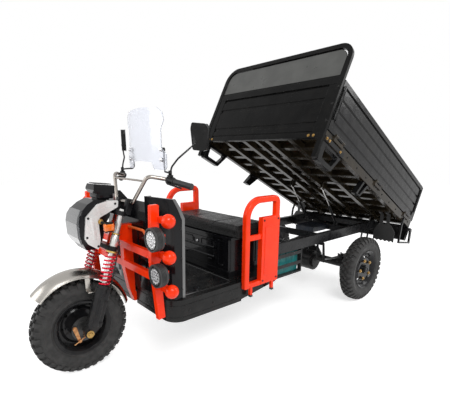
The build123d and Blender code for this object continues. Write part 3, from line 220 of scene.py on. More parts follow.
def edge_mask(tree, radius):
    """A rounded normal, and a value that is 1 along sharp edges and 0 elsewhere."""
    rounded = tree.nodes.new("ShaderNodeBevel")
    rounded.samples = 4
    rounded.inputs["Radius"].default_value = radius
    geometry = tree.nodes.new("ShaderNodeNewGeometry")
    agreement = tree.nodes.new("ShaderNodeVectorMath")
    agreement.operation = "DOT_PRODUCT"
    link(tree, rounded.outputs["Normal"], agreement.inputs[0], geometry.outputs["Normal"], agreement.inputs[1])
    return rounded.outputs["Normal"], remap(tree, agreement.outputs["Value"], 0.99, 0.86, 0.0, 1.0)


def height_above_ground(tree, low, high):
    """A value that falls from 1 at one height to 0 at another."""
    coordinates = tree.nodes.new("ShaderNodeTexCoord")
    split = tree.nodes.new("ShaderNodeSeparateXYZ")
    link(tree, coordinates.outputs["Object"], split.inputs["Vector"])
    return remap(tree, split.outputs["Z"], low, high, 1.0, 0.0)


def painted(name, dark, light, worn_and_highlit, gloss, grain, grain_depth, coat=0.0, metallic=0.0, edge=0.0016, dust=0.0,
            dust_top=0.5, shine=0.5):
    """Paint, plastic or cast metal: mottled colour, patchy gloss, fine grain, edges lightened by wear and by a painted
    highlight, and dust low down.
    """
    material, tree, shader = material_with_shader(name, metallic=metallic)
    shader.inputs["Coat Weight"].default_value = coat
    shader.inputs["Coat Roughness"].default_value = 0.06
    shader.inputs["Specular IOR Level"].default_value = shine
    rounded, edges = edge_mask(tree, edge)
    colour = blend_colours(tree, remap(tree, noise(tree, 9.0), 0.35, 0.65, 0.0, 1.0), dark, light)
    # Edges are lightened towards the worn colour: partly paint worn thin, partly a painted highlight.
    wear_and_painted_highlight = combine(tree, "MULTIPLY", edges, remap(tree, noise(tree, 60.0), 0.42, 0.62, 0.0, 0.75))
    colour = blend_colours(tree, wear_and_painted_highlight, colour, worn_and_highlit)
    smooth = remap(tree, noise(tree, 17.0, 5.0), 0.3, 0.7, *gloss)
    if dust > 0.0:
        settled = combine(tree, "MULTIPLY", height_above_ground(tree, 0.05, dust_top),
                          remap(tree, noise(tree, 26.0, 6.0), 0.38, 0.7, 0.0, dust))
        colour = blend_colours(tree, settled, colour, (0.23, 0.20, 0.165))
        smooth = combine(tree, "ADD", smooth, combine(tree, "MULTIPLY", settled, 0.4))
    link(tree, colour, shader.inputs["Base Color"], smooth, shader.inputs["Roughness"],
         bump(tree, noise(tree, grain, 2.0), grain_depth, rounded), shader.inputs["Normal"])
    return material


def dress(material, *names):
    """Give CAD nodes a material."""
    for name in names:
        for slot in nodes[name].material_slots:
            slot.material = material


satin_black = painted("satin black paint", (0.009, 0.009, 0.010), (0.016, 0.016, 0.017), (0.09, 0.085, 0.08),
                      (0.20, 0.36), 420.0, 0.0002, coat=0.05, dust=0.10, dust_top=0.6, shine=0.15)
dress(satin_black, "chassis_frame", "battery_rack", "rear_axle", "leaf_springs", "fork_legs", "windshield_brackets",
      "strut_tubes")


def make_piece(name, mesh, material, body, sharp=35.0):
    """Turn a finished bmesh into a piece that rides on a body."""
    data = bpy.data.meshes.new(name)
    mesh.to_mesh(data)
    mesh.free()
    data.materials.append(material)
    data.shade_smooth()
    data.set_sharp_from_angle(angle=math.radians(sharp))
    piece = bpy.data.objects.new(name, data)
    bpy.context.scene.collection.objects.link(piece)
    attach(piece, body)
    return piece


def aimed(place, direction):
    """A matrix that moves to a place and turns +Z to a direction."""
    return Matrix.Translation(place) @ Vector(direction).to_track_quat("Z", "Y").to_matrix().to_4x4()


def add_bolt(mesh, place, direction, across=0.012, height=0.006):
    """Add a hex bolt's head with its washer, standing on a face."""
    seat = aimed(place, direction)
    bmesh.ops.create_cone(mesh, cap_ends=True, segments=16, radius1=across * 0.85, radius2=across * 0.82,
                          depth=height * 0.35, matrix=seat @ Matrix.Translation((0, 0, height * 0.17)))
    head = bmesh.ops.create_cone(mesh, cap_ends=True, segments=6, radius1=across / 2, radius2=across / 2, depth=height,
                                 matrix=seat @ Matrix.Translation((0, 0, height * 0.7)))
    rim = [edge for edge in mesh.edges if all(vert in head["verts"] for vert in edge.verts)]
    bmesh.ops.bevel(mesh, geom=rim, offset=height * 0.14, affect="EDGES", segments=1, profile=0.5, material=-1)


zinc = painted("yellow zinc", (0.52, 0.34, 0.10), (0.68, 0.47, 0.16), (0.75, 0.6, 0.3), (0.22, 0.4), 500.0, 0.0001,
               metallic=0.9, edge=0.0008)
steel = painted("bright steel", (0.45, 0.45, 0.46), (0.6, 0.6, 0.61), (0.75, 0.75, 0.75), (0.18, 0.34), 500.0, 0.0001,
                metallic=1.0, edge=0.0008)

# ---- Tyres ---------------------------------------------------------------------------------------
# Cross-ply rubber tyres with a chunky block tread: two staggered rows on the crown and a lug over each
# shoulder. The carcass is one turned skin; blocks are moulded on it, and dust lies on the rubber in patches.
tyre_radius = joints["front_wheel_roll"]["pos_m"][2]
tyre_half = (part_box("front_tyre")[1].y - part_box("front_tyre")[0].y) / 2
bead_half = tyre_half - 0.014
lug_count = 36


def rings_about_axle(tree, centre, pitch):
    """Fine rings round a wheel's axle, as a wave of one value."""
    coordinates = tree.nodes.new("ShaderNodeTexCoord")
    mapping = tree.nodes.new("ShaderNodeMapping")
    mapping.inputs["Location"].default_value = (-centre[0], 0, -centre[2])
    mapping.inputs["Scale"].default_value = (1, 0, 1)
    wave = tree.nodes.new("ShaderNodeTexWave")
    wave.wave_type = "RINGS"
    wave.rings_direction = "SPHERICAL"
    wave.inputs["Scale"].default_value = 0.314 / pitch
    link(tree, coordinates.outputs["Object"], mapping.inputs["Vector"], mapping.outputs["Vector"],
         wave.inputs["Vector"])
    return wave.outputs["Fac"]


def rubber_for(name, centre):
    """Matt rubber with fine moulding rings about its own axle, greyed by dust."""
    material, tree, shader = material_with_shader(name)
    shader.inputs["Specular IOR Level"].default_value = 0.35
    mottle = remap(tree, noise(tree, 40.0, 6.0), 0.3, 0.7, 0.0, 1.0)
    colour = blend_colours(tree, mottle, (0.016, 0.016, 0.016), (0.032, 0.031, 0.03))
    dust = remap(tree, noise(tree, 18.0, 8.0), 0.45, 0.75, 0.0, 0.25)
    colour = blend_colours(tree, dust, colour, (0.085, 0.083, 0.08))
    height = combine(tree, "ADD", combine(tree, "MULTIPLY", rings_about_axle(tree, centre, 0.006), 0.35),
                     noise(tree, 900.0, 2.0))
    link(tree, colour, shader.inputs["Base Color"], remap(tree, noise(tree, 30.0), 0.3, 0.7, 0.55, 0.78),
         shader.inputs["Roughness"], bump(tree, height, 0.0004), shader.inputs["Normal"])
    return material


def spun(mesh, points, centre, steps):
    """Turn an open outline of (radius, y) points once round the Y axis through a centre."""
    verts = [mesh.verts.new((centre[0] + radius, centre[1] + y, centre[2])) for radius, y in points]
    edges = [mesh.edges.new(pair) for pair in zip(verts, verts[1:])]
    bmesh.ops.spin(mesh, geom=verts + edges, cent=centre, axis=(0, 1, 0), angle=2 * math.pi, steps=steps,
                   use_merge=True)


def repeated_round(mesh, geometry, centre, count, start):
    """Copy geometry round the Y axis through a centre, count in all, turned by a starting angle."""
    verts = [item for item in geometry if isinstance(item, bmesh.types.BMVert)]
    bmesh.ops.rotate(mesh, verts=verts, cent=centre, matrix=Matrix.Rotation(start, 3, "Y"))
    bmesh.ops.spin(mesh, geom=geometry, cent=centre, axis=(0, 1, 0), angle=2 * math.pi * (count - 1) / count,
                   steps=count - 1, use_duplicate=True)


def outline_prism(mesh, points, depth, matrix):
    """Add a prism: an outline in X and Y, centred in Z, placed by a matrix. Returns its geometry."""
    verts = [mesh.verts.new((x, y, -depth / 2)) for x, y in points]
    face = mesh.faces.new(verts)
    grown = bmesh.ops.extrude_face_region(mesh, geom=[face])["geom"]
    top = [item for item in grown if isinstance(item, bmesh.types.BMVert)]
    bmesh.ops.translate(mesh, verts=top, vec=(0, 0, depth))
    verts += top
    bmesh.ops.transform(mesh, verts=verts, matrix=matrix)
    edges = {edge for vert in verts for edge in vert.link_edges}
    faces = {other for vert in verts for other in vert.link_faces}
    bmesh.ops.recalc_face_normals(mesh, faces=list(faces))
    return verts + list(edges) + list(faces)


def make_tyre(place, joint_name, body):
    """One tyre in place of its CAD solid."""
    centre = Vector(joints[joint_name]["pos_m"])
    base = tyre_radius - 0.010
    half_section = [(tyre_radius - 0.126, bead_half), (tyre_radius - 0.112, bead_half + 0.001),
                    (tyre_radius - 0.104, tyre_half - 0.010), (tyre_radius - 0.098, tyre_half - 0.005),
                    (tyre_radius - 0.094, tyre_half - 0.006), (tyre_radius - 0.080, tyre_half - 0.0025),
                    (tyre_radius - 0.066, tyre_half - 0.0012), (tyre_radius - 0.064, tyre_half),
                    (tyre_radius - 0.060, tyre_half), (tyre_radius - 0.058, tyre_half - 0.002),
                    (tyre_radius - 0.040, tyre_half - 0.004), (tyre_radius - 0.026, tyre_half - 0.010),
                    (base - 0.006, tyre_half - 0.020), (base - 0.001, 0.016), (base, 0.0)]
    section = half_section + [(radius, -y) for radius, y in reversed(half_section[:-1])]
    mesh = bmesh.new()
    spun(mesh, section + [section[0]], centre, 108)
    bmesh.ops.remove_doubles(mesh, verts=mesh.verts, dist=0.00005)
    bmesh.ops.recalc_face_normals(mesh, faces=mesh.faces)
    top = tyre_radius - 0.0007
    pitch = 2 * math.pi / lug_count
    crown = [(-0.013, -0.009), (0.009, -0.011), (0.014, 0.008), (-0.009, 0.011)]
    shoulder = [(top - 0.002, 0.0245), (top - 0.005, tyre_half - 0.016), (top - 0.020, tyre_half - 0.004),
                (top - 0.038, tyre_half), (top - 0.040, tyre_half - 0.006), (top - 0.016, 0.026)]
    for side in (-1, 1):
        start = pitch / 2 if side > 0 else 0.0
        row = Matrix.Translation((centre.x + tyre_radius - 0.0075, centre.y + side * 0.0125, centre.z))
        block = outline_prism(mesh, [(x, side * y) for x, y in crown], 0.0135,
                              row @ Matrix.Rotation(math.pi / 2, 4, "Y"))
        repeated_round(mesh, block, centre, lug_count, start)
        row = Matrix.Translation((centre.x, centre.y, centre.z))
        block = outline_prism(mesh, [(radius, side * y) for radius, y in shoulder], 0.025, row)
        repeated_round(mesh, block, centre, lug_count, start + pitch / 2)
    tyre = make_piece(place + "_block_tyre", mesh, rubber_for(place + " tyre rubber", centre), body, 30.0)
    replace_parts(tyre, place + "_tyre")


make_tyre("front", "front_wheel_roll", "front_wheel")
make_tyre("rear_left", "rear_left_wheel_roll", "rear_wheel_left")
make_tyre("rear_right", "rear_right_wheel_roll", "rear_wheel_right")

# ---- Wheels --------------------------------------------------------------------------------------
# Pressed steel wheels in gloss black enamel. Each hangs on five studs with gold-passivated nuts, small
# bolts join its two halves round the barrel, and the rear hubs end in a turned cap.
gloss_enamel = painted("gloss black enamel", (0.006, 0.006, 0.007), (0.011, 0.011, 0.012), (0.08, 0.08, 0.08),
                       (0.07, 0.16), 150.0, 0.0002, coat=0.08, dust=0.04, shine=0.15)
dress(gloss_enamel, "front_rim", "rear_left_rim", "rear_right_rim")


def add_ring(mesh, matrix, outline, steps=40):
    """Turn a closed outline of (radius, height) once round the Z axis of a matrix."""
    verts = [mesh.verts.new((radius, 0, height)) for radius, height in outline]
    edges = [mesh.edges.new(pair) for pair in zip(verts, verts[1:] + verts[:1])]
    before = set(mesh.faces)
    bmesh.ops.spin(mesh, geom=verts + edges, cent=(0, 0, 0), axis=(0, 0, 1), angle=2 * math.pi, steps=steps,
                   use_merge=True)
    turned = {vert for face in mesh.faces if face not in before for vert in face.verts}
    bmesh.ops.remove_doubles(mesh, verts=list(turned), dist=1e-6)
    faces = [face for face in mesh.faces if face not in before]
    bmesh.ops.recalc_face_normals(mesh, faces=faces)
    bmesh.ops.transform(mesh, verts=list({vert for face in faces for vert in face.verts}), matrix=matrix)


def make_wheel_trim(place, joint_name, body, side, nut_seat, disc_seat, nut_across):
    """Nuts over a wheel's studs and small bolts round its disc, on the wheel's outer side."""
    centre = Vector(joints[joint_name]["pos_m"])
    nuts = bmesh.new()
    bolts = bmesh.new()
    for k in range(5):
        angle = 2 * math.pi * k / 5
        seat = centre + Vector((stud_circle * math.cos(angle), side * nut_seat, stud_circle * math.sin(angle)))
        add_bolt(nuts, seat, (0, side, 0), nut_across, 0.010)
    for k in range(12):
        angle = 2 * math.pi * (k + 0.5) / 12
        seat = centre + Vector((disc_circle * math.cos(angle), side * disc_seat, disc_circle * math.sin(angle)))
        add_bolt(bolts, seat, (0, side, 0), 0.008, 0.004)
    make_piece(place + "_wheel_nuts", nuts, dull_gold, body, 30.0)
    make_piece(place + "_disc_bolts", bolts, satin_black, body, 30.0)


dull_gold = painted("aged gold zinc", (0.30, 0.18, 0.05), (0.44, 0.28, 0.09), (0.55, 0.4, 0.2), (0.3, 0.5), 400.0,
                    0.0002, metallic=0.8, edge=0.0008, dust=0.15)
stud_circle = 0.082
disc_circle = 0.126
make_wheel_trim("rear_left", "rear_left_wheel_roll", "rear_wheel_left", 1, 0.0385, 0.017, 0.018)
make_wheel_trim("rear_right", "rear_right_wheel_roll", "rear_wheel_right", -1, 0.0385, 0.017, 0.018)
hub_caps = {"left": 1, "right": -1}
for name, side in hub_caps.items():
    hub_end = Vector(joints["rear_" + name + "_wheel_roll"]["pos_m"])
    low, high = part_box("rear_" + name + "_rim")
    hub_end.y = high.y if side > 0 else low.y
    cap = bmesh.new()
    add_ring(cap, aimed(hub_end, (0, side, 0)), [(0.016, -0.004), (0.030, -0.004), (0.030, 0.003), (0.026, 0.007),
                                                 (0.018, 0.008), (0.016, 0.006)])
    make_piece("rear_" + name + "_hub_cap", cap, gloss_enamel, "rear_wheel_" + name)
drum_cover = bmesh.new()
add_ring(drum_cover, aimed(joints["front_wheel_roll"]["pos_m"], (0, -1, 0)),
         [(0.040, 0.036), (0.040, 0.031), (0.075, 0.031), (0.082, 0.024), (0.140, 0.024), (0.146, 0.030),
          (0.146, 0.034), (0.138, 0.030), (0.086, 0.030), (0.079, 0.036)], 72)
make_piece("front_drum_cover", drum_cover, satin_black, "front_wheel")

# ---- Fork ----------------------------------------------------------------------------------------
# Telescopic fork: chromed tubes in black lower legs, a crimson coil spring round each tube, forged yokes,
# a gold ring over the top of each spring and a bare raised pad on the outside of each leg.
front_axle = Vector(joints["front_wheel_roll"]["pos_m"])
steer_up = Vector(joints["steering_turn"]["axis"]).normalized()
fork_frame = Matrix((Vector((0, 1, 0)).cross(steer_up), Vector((0, 1, 0)), steer_up)).transposed().to_4x4()
fork_frame.translation = front_axle
leg_offset = -0.022
leg_y = 0.122
polished = painted("polished chrome", (0.64, 0.63, 0.61), (0.76, 0.75, 0.73), (0.8, 0.8, 0.8), (0.12, 0.22), 90.0,
                   0.00002, metallic=0.72, edge=0.0006)
spring_red = painted("crimson spring coating", (0.52, 0.002, 0.018), (0.68, 0.005, 0.030), (0.7, 0.06, 0.08),
                     (0.14, 0.26), 320.0, 0.0001, coat=0.05, edge=0.0004, shine=0.15)
dress(polished, "fork_tubes", "strut_rods")
dress(spring_red, "fork_springs")
dress(satin_black, "fork_yokes")
rubber = painted("black rubber", (0.010, 0.010, 0.010), (0.018, 0.018, 0.018), (0.05, 0.05, 0.05), (0.4, 0.6), 700.0,
                 0.0003, edge=0.001, dust=0.12)
dress(rubber, "brake_cable")


def add_block(mesh, low, high, edge=0.001, segments=2, corner_axis=None, corner=0.0, matrix=None):
    """Add a box between two corners, with rounded edges and, round one axis, larger rounded corners."""
    cube = bmesh.ops.create_cube(mesh, size=1.0)["verts"]
    bmesh.ops.scale(mesh, vec=[b - a for a, b in zip(low, high)], verts=cube)
    bmesh.ops.translate(mesh, vec=[(a + b) / 2 for a, b in zip(low, high)], verts=cube)
    if corner_axis is not None:
        upright = {side for vert in cube for side in vert.link_edges
                   if abs((side.verts[0].co - side.verts[1].co)[corner_axis]) > 0.9 * side.calc_length()}
        grown = bmesh.ops.bevel(mesh, geom=list(upright), offset=corner, affect="EDGES", segments=6, profile=0.5,
                                material=-1)
        cube = list({vert for vert in cube if vert.is_valid} | set(grown["verts"]))
    edges = {side for vert in cube for side in vert.link_edges if side.calc_face_angle(0.0) > 0.5}
    if edge > 0.0:
        grown = bmesh.ops.bevel(mesh, geom=list(edges), offset=edge, affect="EDGES", segments=segments, profile=0.5,
                                material=-1)
        cube = list({vert for vert in cube if vert.is_valid} | set(grown["verts"]))
    if matrix is not None:
        bmesh.ops.transform(mesh, verts=cube, matrix=matrix)
    return cube


collars = bmesh.new()
sleeves = bmesh.new()
seals = bmesh.new()
pads = bmesh.new()
fork_bolts = bmesh.new()
axle_nuts = bmesh.new()
for side in (-1, 1):
    on_leg = fork_frame @ Matrix.Translation((leg_offset, side * leg_y, 0))
    add_ring(collars, on_leg, [(0.0262, 0.477), (0.0315, 0.477), (0.033, 0.480), (0.033, 0.486), (0.0262, 0.487)])
    add_ring(sleeves, on_leg, [(0.0212, 0.512), (0.0224, 0.513), (0.0224, 0.578), (0.0212, 0.580)])
    add_ring(collars, on_leg, [(0.0212, 0.582), (0.0245, 0.582), (0.0245, 0.589), (0.0212, 0.589)])
    add_ring(seals, on_leg, [(0.0167, 0.2855), (0.024, 0.2855), (0.0235, 0.294), (0.0167, 0.297)])
    pad = sorted((side * 0.0262, side * 0.0285))
    add_block(pads, (-0.009, pad[0], 0.085), (0.009, pad[1], 0.245), 0.0015, 3, 1, 0.008, on_leg)
    add_block(pads, (-0.0045, sorted((side * 0.028, side * 0.0295))[0], 0.100),
              (0.0045, sorted((side * 0.028, side * 0.0295))[1], 0.230), 0.0006, 2, 1, 0.004, on_leg)
    for forward, up in ((0.034, 0.062), (-0.034, 0.062), (-0.034, 0.190)):
        add_bolt(fork_bolts, on_leg @ Vector((forward, side * 0.0172, up)), (0, side, 0), 0.010, 0.005)
    for up in (0.497, 0.705):
        seat = on_leg @ Vector((0.0262, 0, up))
        add_bolt(fork_bolts, seat, fork_frame.to_3x3() @ Vector((1, 0, 0)), 0.010, 0.005)
    add_bolt(axle_nuts, fork_frame @ Vector((0, side * (leg_y + 0.0272), 0)), (0, side, 0), 0.026, 0.013)
make_piece("fork_collars", collars, zinc, "steering")
make_piece("fork_sleeves", sleeves, polished, "steering")
make_piece("fork_seals", seals, rubber, "steering")
make_piece("fork_leg_pads", pads, satin_black, "steering")
make_piece("fork_bolts", fork_bolts, satin_black, "steering")
make_piece("axle_nuts", axle_nuts, dull_gold, "steering")

# ---- Front brake ---------------------------------------------------------------------------------
# Cast back plate in black with a gold-passivated arm, clevis and adjuster, worked by a black cable.


def beyond(tree, point, direction, low, high):
    """A value that goes from 0 to 1 along a direction, between two distances from a point."""
    coordinates = tree.nodes.new("ShaderNodeTexCoord")
    moved = tree.nodes.new("ShaderNodeVectorMath")
    moved.operation = "SUBTRACT"
    moved.inputs[1].default_value = point
    along = tree.nodes.new("ShaderNodeVectorMath")
    along.operation = "DOT_PRODUCT"
    along.inputs[1].default_value = direction
    link(tree, coordinates.outputs["Object"], moved.inputs[0], moved.outputs["Vector"], along.inputs[0])
    return remap(tree, along.outputs["Value"], low, high, 0.0, 1.0)


brake_metal, brake_tree, brake_shader = material_with_shader("black casting and gold brake arm")
rounded_brake = edge_mask(brake_tree, 0.001)[0]
arm_share = beyond(brake_tree, (0, bead_half + 0.0265, 0), (0, 1, 0), 0.0, 0.0004)
cast_colour = blend_colours(brake_tree, remap(brake_tree, noise(brake_tree, 30.0), 0.35, 0.65, 0.0, 1.0),
                            (0.012, 0.012, 0.012), (0.024, 0.023, 0.022))
arm_colour = blend_colours(brake_tree, remap(brake_tree, noise(brake_tree, 70.0), 0.4, 0.6, 0.0, 1.0),
                           (0.34, 0.15, 0.06), (0.50, 0.26, 0.11))
link(brake_tree, blend_colours(brake_tree, arm_share, cast_colour, arm_colour), brake_shader.inputs["Base Color"],
     combine(brake_tree, "MULTIPLY", arm_share, 0.75), brake_shader.inputs["Metallic"],
     remap(brake_tree, noise(brake_tree, 40.0), 0.3, 0.7, 0.3, 0.5), brake_shader.inputs["Roughness"],
     bump(brake_tree, noise(brake_tree, 500.0, 2.0), 0.0003, rounded_brake), brake_shader.inputs["Normal"])
dress(brake_metal, "front_brake_plate")

# ---- Mudguard ------------------------------------------------------------------------------------
# Rolled stainless sheet with wired edges, polished along its length, on two flat stays from the fork
# legs. Fine scratches run round it, and it is dull where it has been handled.


def brushed_metal(name, colour, stretch, roughness, depth):
    """Polished sheet or tube: long fine scratches, faint smears and a soft, even gloss."""
    material, tree, shader = material_with_shader(name, metallic=1.0)
    shader.inputs["Anisotropic"].default_value = 0.3
    rounded, edges = edge_mask(tree, 0.0012)
    scratches = noise(tree, 300.0, 2.0, stretch=stretch)
    smears = remap(tree, noise(tree, 7.0, 3.0), 0.3, 0.7, 0.0, 1.0)
    darker = tuple(0.86 * part for part in colour)
    link(tree, blend_colours(tree, smears, colour, darker), shader.inputs["Base Color"],
         remap(tree, combine(tree, "ADD", smears, combine(tree, "MULTIPLY", scratches, 0.6)), 0.0, 1.6, *roughness),
         shader.inputs["Roughness"], bump(tree, scratches, depth, rounded), shader.inputs["Normal"])
    return material


stainless = brushed_metal("polished stainless", (0.40, 0.38, 0.35), (0.08, 1.0, 0.08), (0.20, 0.32), 0.00006)
bar_metal = brushed_metal("nickel-plated bar", (0.34, 0.31, 0.28), (1.0, 0.1, 1.0), (0.18, 0.30), 0.00004)
dress(stainless, "front_mudguard")
dress(bar_metal, "handlebar")

# ---- Headlamp ------------------------------------------------------------------------------------
# Black moulded lamp body with a smoked glass over two projector lenses and slanted light bars. It hangs
# between two silver-lacquered plates on small black cap screws.


def ahead_of_axle(x, y, z):
    """A point given from the front axle's middle."""
    return Vector((front_axle.x + x, y, front_axle.z + z))


gloss_black = painted("gloss black moulding", (0.004, 0.004, 0.005), (0.008, 0.008, 0.009), (0.05, 0.05, 0.05),
                      (0.08, 0.2), 120.0, 0.0001, coat=0.08, edge=0.0012, shine=0.12)
silver = painted("silver lacquer", (0.60, 0.60, 0.59), (0.70, 0.70, 0.69), (0.8, 0.8, 0.79), (0.22, 0.34), 1400.0,
                 0.00006, coat=0.5, metallic=0.15, edge=0.0014)
grained_black = painted("grained black plastic", (0.006, 0.006, 0.006), (0.011, 0.011, 0.011), (0.05, 0.05, 0.05),
                        (0.18, 0.30), 1100.0, 0.00014, coat=0.05, edge=0.0014, dust=0.04, shine=0.15)
dress(gloss_black, "headlamp", "instrument_pod")
dress(silver, "headlamp_plates")


def clear_material(name, colour, roughness, through, coat=0.0):
    """Glass or clear plastic: part of the light goes through, the rest is tinted, with a faint haze."""
    material, tree, shader = material_with_shader(name)
    shader.inputs["Transmission Weight"].default_value = through
    shader.inputs["IOR"].default_value = 1.45
    shader.inputs["Coat Weight"].default_value = coat
    paler = tuple(min(1.0, part * 1.04 + 0.002) for part in colour)
    link(tree, remap(tree, noise(tree, 22.0, 6.0), 0.35, 0.7, roughness, roughness + 0.05), shader.inputs["Roughness"],
         blend_colours(tree, remap(tree, noise(tree, 6.0), 0.3, 0.7, 0.0, 1.0), colour, paler),
         shader.inputs["Base Color"])
    return material


smoked = clear_material("smoked lamp glass", (0.10, 0.105, 0.115), 0.01, 0.75, coat=1.0)
dress(smoked, "headlamp_lens")
silvered = painted("silvered reflector", (0.42, 0.42, 0.43), (0.56, 0.56, 0.57), (0.7, 0.7, 0.7), (0.08, 0.16), 300.0,
                   0.00002, metallic=1.0, edge=0.0005)
bright_glass = clear_material("clear lamp glass", (0.93, 0.94, 0.95), 0.01, 0.95)
projectors = bmesh.new()
rims = bmesh.new()
for y in (-0.042, 0.042):
    seat = aimed(ahead_of_axle(-0.0192, y, 0.588), (1, 0, 0))
    dome = bmesh.ops.create_uvsphere(projectors, u_segments=28, v_segments=14, radius=0.023)["verts"]
    bmesh.ops.scale(projectors, vec=(1, 1, 0.38), verts=dome)
    bmesh.ops.transform(projectors, verts=dome, matrix=seat)
    add_ring(rims, seat, [(0.0225, 0.0), (0.0285, 0.0), (0.0285, 0.004), (0.0255, 0.0065), (0.0225, 0.005)])
    for k in range(3):
        bar = ahead_of_axle(-0.0185, y * (0.55 + 0.42 * k), 0.645 - 0.004 * k)
        turned = Matrix.Translation(bar) @ Matrix.Rotation(-0.35 if y > 0 else 0.35, 4, "X")
        add_block(rims, (-0.003, -0.0045, -0.018), (0.003, 0.0045, 0.018), 0.0012, 2, None, 0.0, turned)
make_piece("projector_lenses", projectors, bright_glass, "steering", 60.0)
make_piece("projector_rims", rims, silvered, "steering")

plate_side_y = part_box("headlamp_plates")[1].y
plate_screws = bmesh.new()
plate_folds = bmesh.new()
for side in (-1, 1):
    for x, z in ((-0.222, 0.716), (-0.062, 0.650), (-0.048, 0.545), (-0.106, 0.488)):
        add_bolt(plate_screws, ahead_of_axle(x, side * plate_side_y, z), (0, side, 0), 0.008, 0.004)
    fold = sorted((side * (plate_side_y - 0.001), side * (plate_side_y + 0.0016)))
    spine = Matrix.Translation(ahead_of_axle(-0.088, 0, 0.600)) @ Matrix.Rotation(0.10, 4, "Y")
    add_block(plate_folds, (-0.010, fold[0], -0.070), (0.014, fold[1], 0.050), 0.0012, 2, 1, 0.008, spine)
make_piece("plate_screws", plate_screws, satin_black, "steering")
make_piece("plate_folds", plate_folds, silver, "steering")

# ---- Instrument pod ------------------------------------------------------------------------------
# Moulded pod with a dark glass display to the rider, a raised bezel and two buttons below it.
pod_frame = Matrix.Translation(ahead_of_axle(-0.2462, 0, 0.789)) @ Matrix.Rotation(-0.087, 4, "Y")
bezel = bmesh.new()
add_block(bezel, (-0.003, -0.057, -0.0215), (0.0015, 0.057, 0.0215), 0.0012, 2, 0, 0.006, pod_frame)
make_piece("display_bezel", bezel, grained_black, "steering")
display = bmesh.new()
add_block(display, (-0.0036, -0.049, -0.0150), (-0.002, 0.049, 0.0150), 0.0004, 1, 0, 0.003, pod_frame)
display_glass = painted("dark display glass", (0.004, 0.006, 0.009), (0.007, 0.010, 0.014), (0.02, 0.02, 0.03),
                        (0.02, 0.08), 60.0, 0.00001, coat=1.0, edge=0.0004)
make_piece("display", display, display_glass, "steering")
visor = bmesh.new()
hood = Matrix.Translation(ahead_of_axle(-0.188, 0, 0.8225)) @ Matrix.Rotation(-0.107, 4, "Y")
add_block(visor, (-0.052, -0.046, -0.001), (0.050, 0.046, 0.004), 0.0015, 2, 2, 0.012, hood)
make_piece("pod_hood", visor, gloss_black, "steering")
shroud = bmesh.new()
add_block(shroud, (-0.050, -0.0585, -0.0215), (0.050, 0.0585, 0.010), 0.004, 3, 2, 0.016,
          Matrix.Translation(ahead_of_axle(-0.192, 0, 0.763)) @ Matrix.Rotation(-0.06, 4, "Y"))
add_block(shroud, (-0.034, -0.044, -0.030), (0.040, 0.044, -0.018), 0.003, 2, 2, 0.010,
          Matrix.Translation(ahead_of_axle(-0.188, 0, 0.761)) @ Matrix.Rotation(-0.06, 4, "Y"))
make_piece("pod_shroud", shroud, gloss_black, "steering")

# ---- Turn signals --------------------------------------------------------------------------------
# Black housings on ball-ended stalks, each with a ribbed amber lens wrapped round its outer end, and a
# bright nut where the stalk meets the plate.
dress(grained_black, "turn_signals")
amber = clear_material("amber lens", (0.98, 0.20, 0.006), 0.06, 0.2, coat=0.8)
stalk_nuts = bmesh.new()
for name, side in (("left", 1), ("right", -1)):
    lens = bmesh.new()
    centre = ahead_of_axle(-0.152, side * (plate_side_y + 0.046), 0.598)
    outer = sorted((centre.y - side * 0.004, centre.y + side * 0.0185))
    add_block(lens, (centre.x - 0.0285, outer[0], centre.z - 0.0205), (centre.x + 0.0285, outer[1], centre.z + 0.0205),
              0.006, 4)
    for k in range(5):
        x = centre.x - 0.018 + 0.009 * k
        rib = sorted((centre.y + side * 0.017, centre.y + side * 0.0198))
        add_block(lens, (x - 0.0015, rib[0], centre.z - 0.014), (x + 0.0015, rib[1], centre.z + 0.014), 0.0008, 1)
    make_piece("signal_lens_" + name, lens, amber, "steering", 50.0)
    add_bolt(stalk_nuts, ahead_of_axle(-0.128, side * (plate_side_y + 0.0052), 0.625), (0, side, 0), 0.018, 0.006)
make_piece("stalk_nuts", stalk_nuts, zinc, "steering")

# ---- Handlebar controls --------------------------------------------------------------------------
# Ribbed rubber grips with a collar at each end, moulded switch blocks with coloured buttons, and screws
# under the switch clamps.
dress(rubber, "grips")
dress(grained_black, "switch_housings")
ribs = bmesh.new()
buttons = bmesh.new()
clamp_screws = bmesh.new()
for side in (-1, 1):
    bend = ahead_of_axle(-0.462, side * 0.262, 0.848)
    grip_dir = (ahead_of_axle(-0.523, side * 0.425, 0.813) - bend).normalized()
    on_bar = aimed(bend, grip_dir)
    for k in range(15):
        along = 0.066 + 0.0068 * k
        add_ring(ribs, on_bar @ Matrix.Translation((0, 0, along)),
                 [(0.0158, 0.0), (0.0172, 0.0008), (0.0172, 0.0032), (0.0158, 0.004)], 28)
    add_ring(ribs, on_bar, [(0.0158, 0.170), (0.0185, 0.171), (0.0185, 0.176), (0.0158, 0.177)], 28)
    for along, wide in ((0.024, 0.005), (0.036, 0.004), (0.046, 0.005)):
        back = bend + grip_dir * along + Vector((-0.0222, 0, 0.004))
        turned = aimed(back, (-1, 0, 0.15))
        add_block(buttons, (-wide, -0.004, -0.002), (wide, 0.004, 0.0035), 0.0012, 2, None, 0.0, turned)
    for along in (0.021, 0.049):
        add_bolt(clamp_screws, bend + grip_dir * along + Vector((0, 0, -0.0225)), (0, 0, -1), 0.006, 0.003)
make_piece("grip_ribs", ribs, rubber, "steering")
button_grey = painted("pale grey buttons", (0.22, 0.22, 0.22), (0.30, 0.30, 0.30), (0.4, 0.4, 0.4), (0.35, 0.5), 600.0,
                      0.0001)
make_piece("switch_buttons", buttons, button_grey, "steering")
make_piece("switch_screws", clamp_screws, steel, "steering")

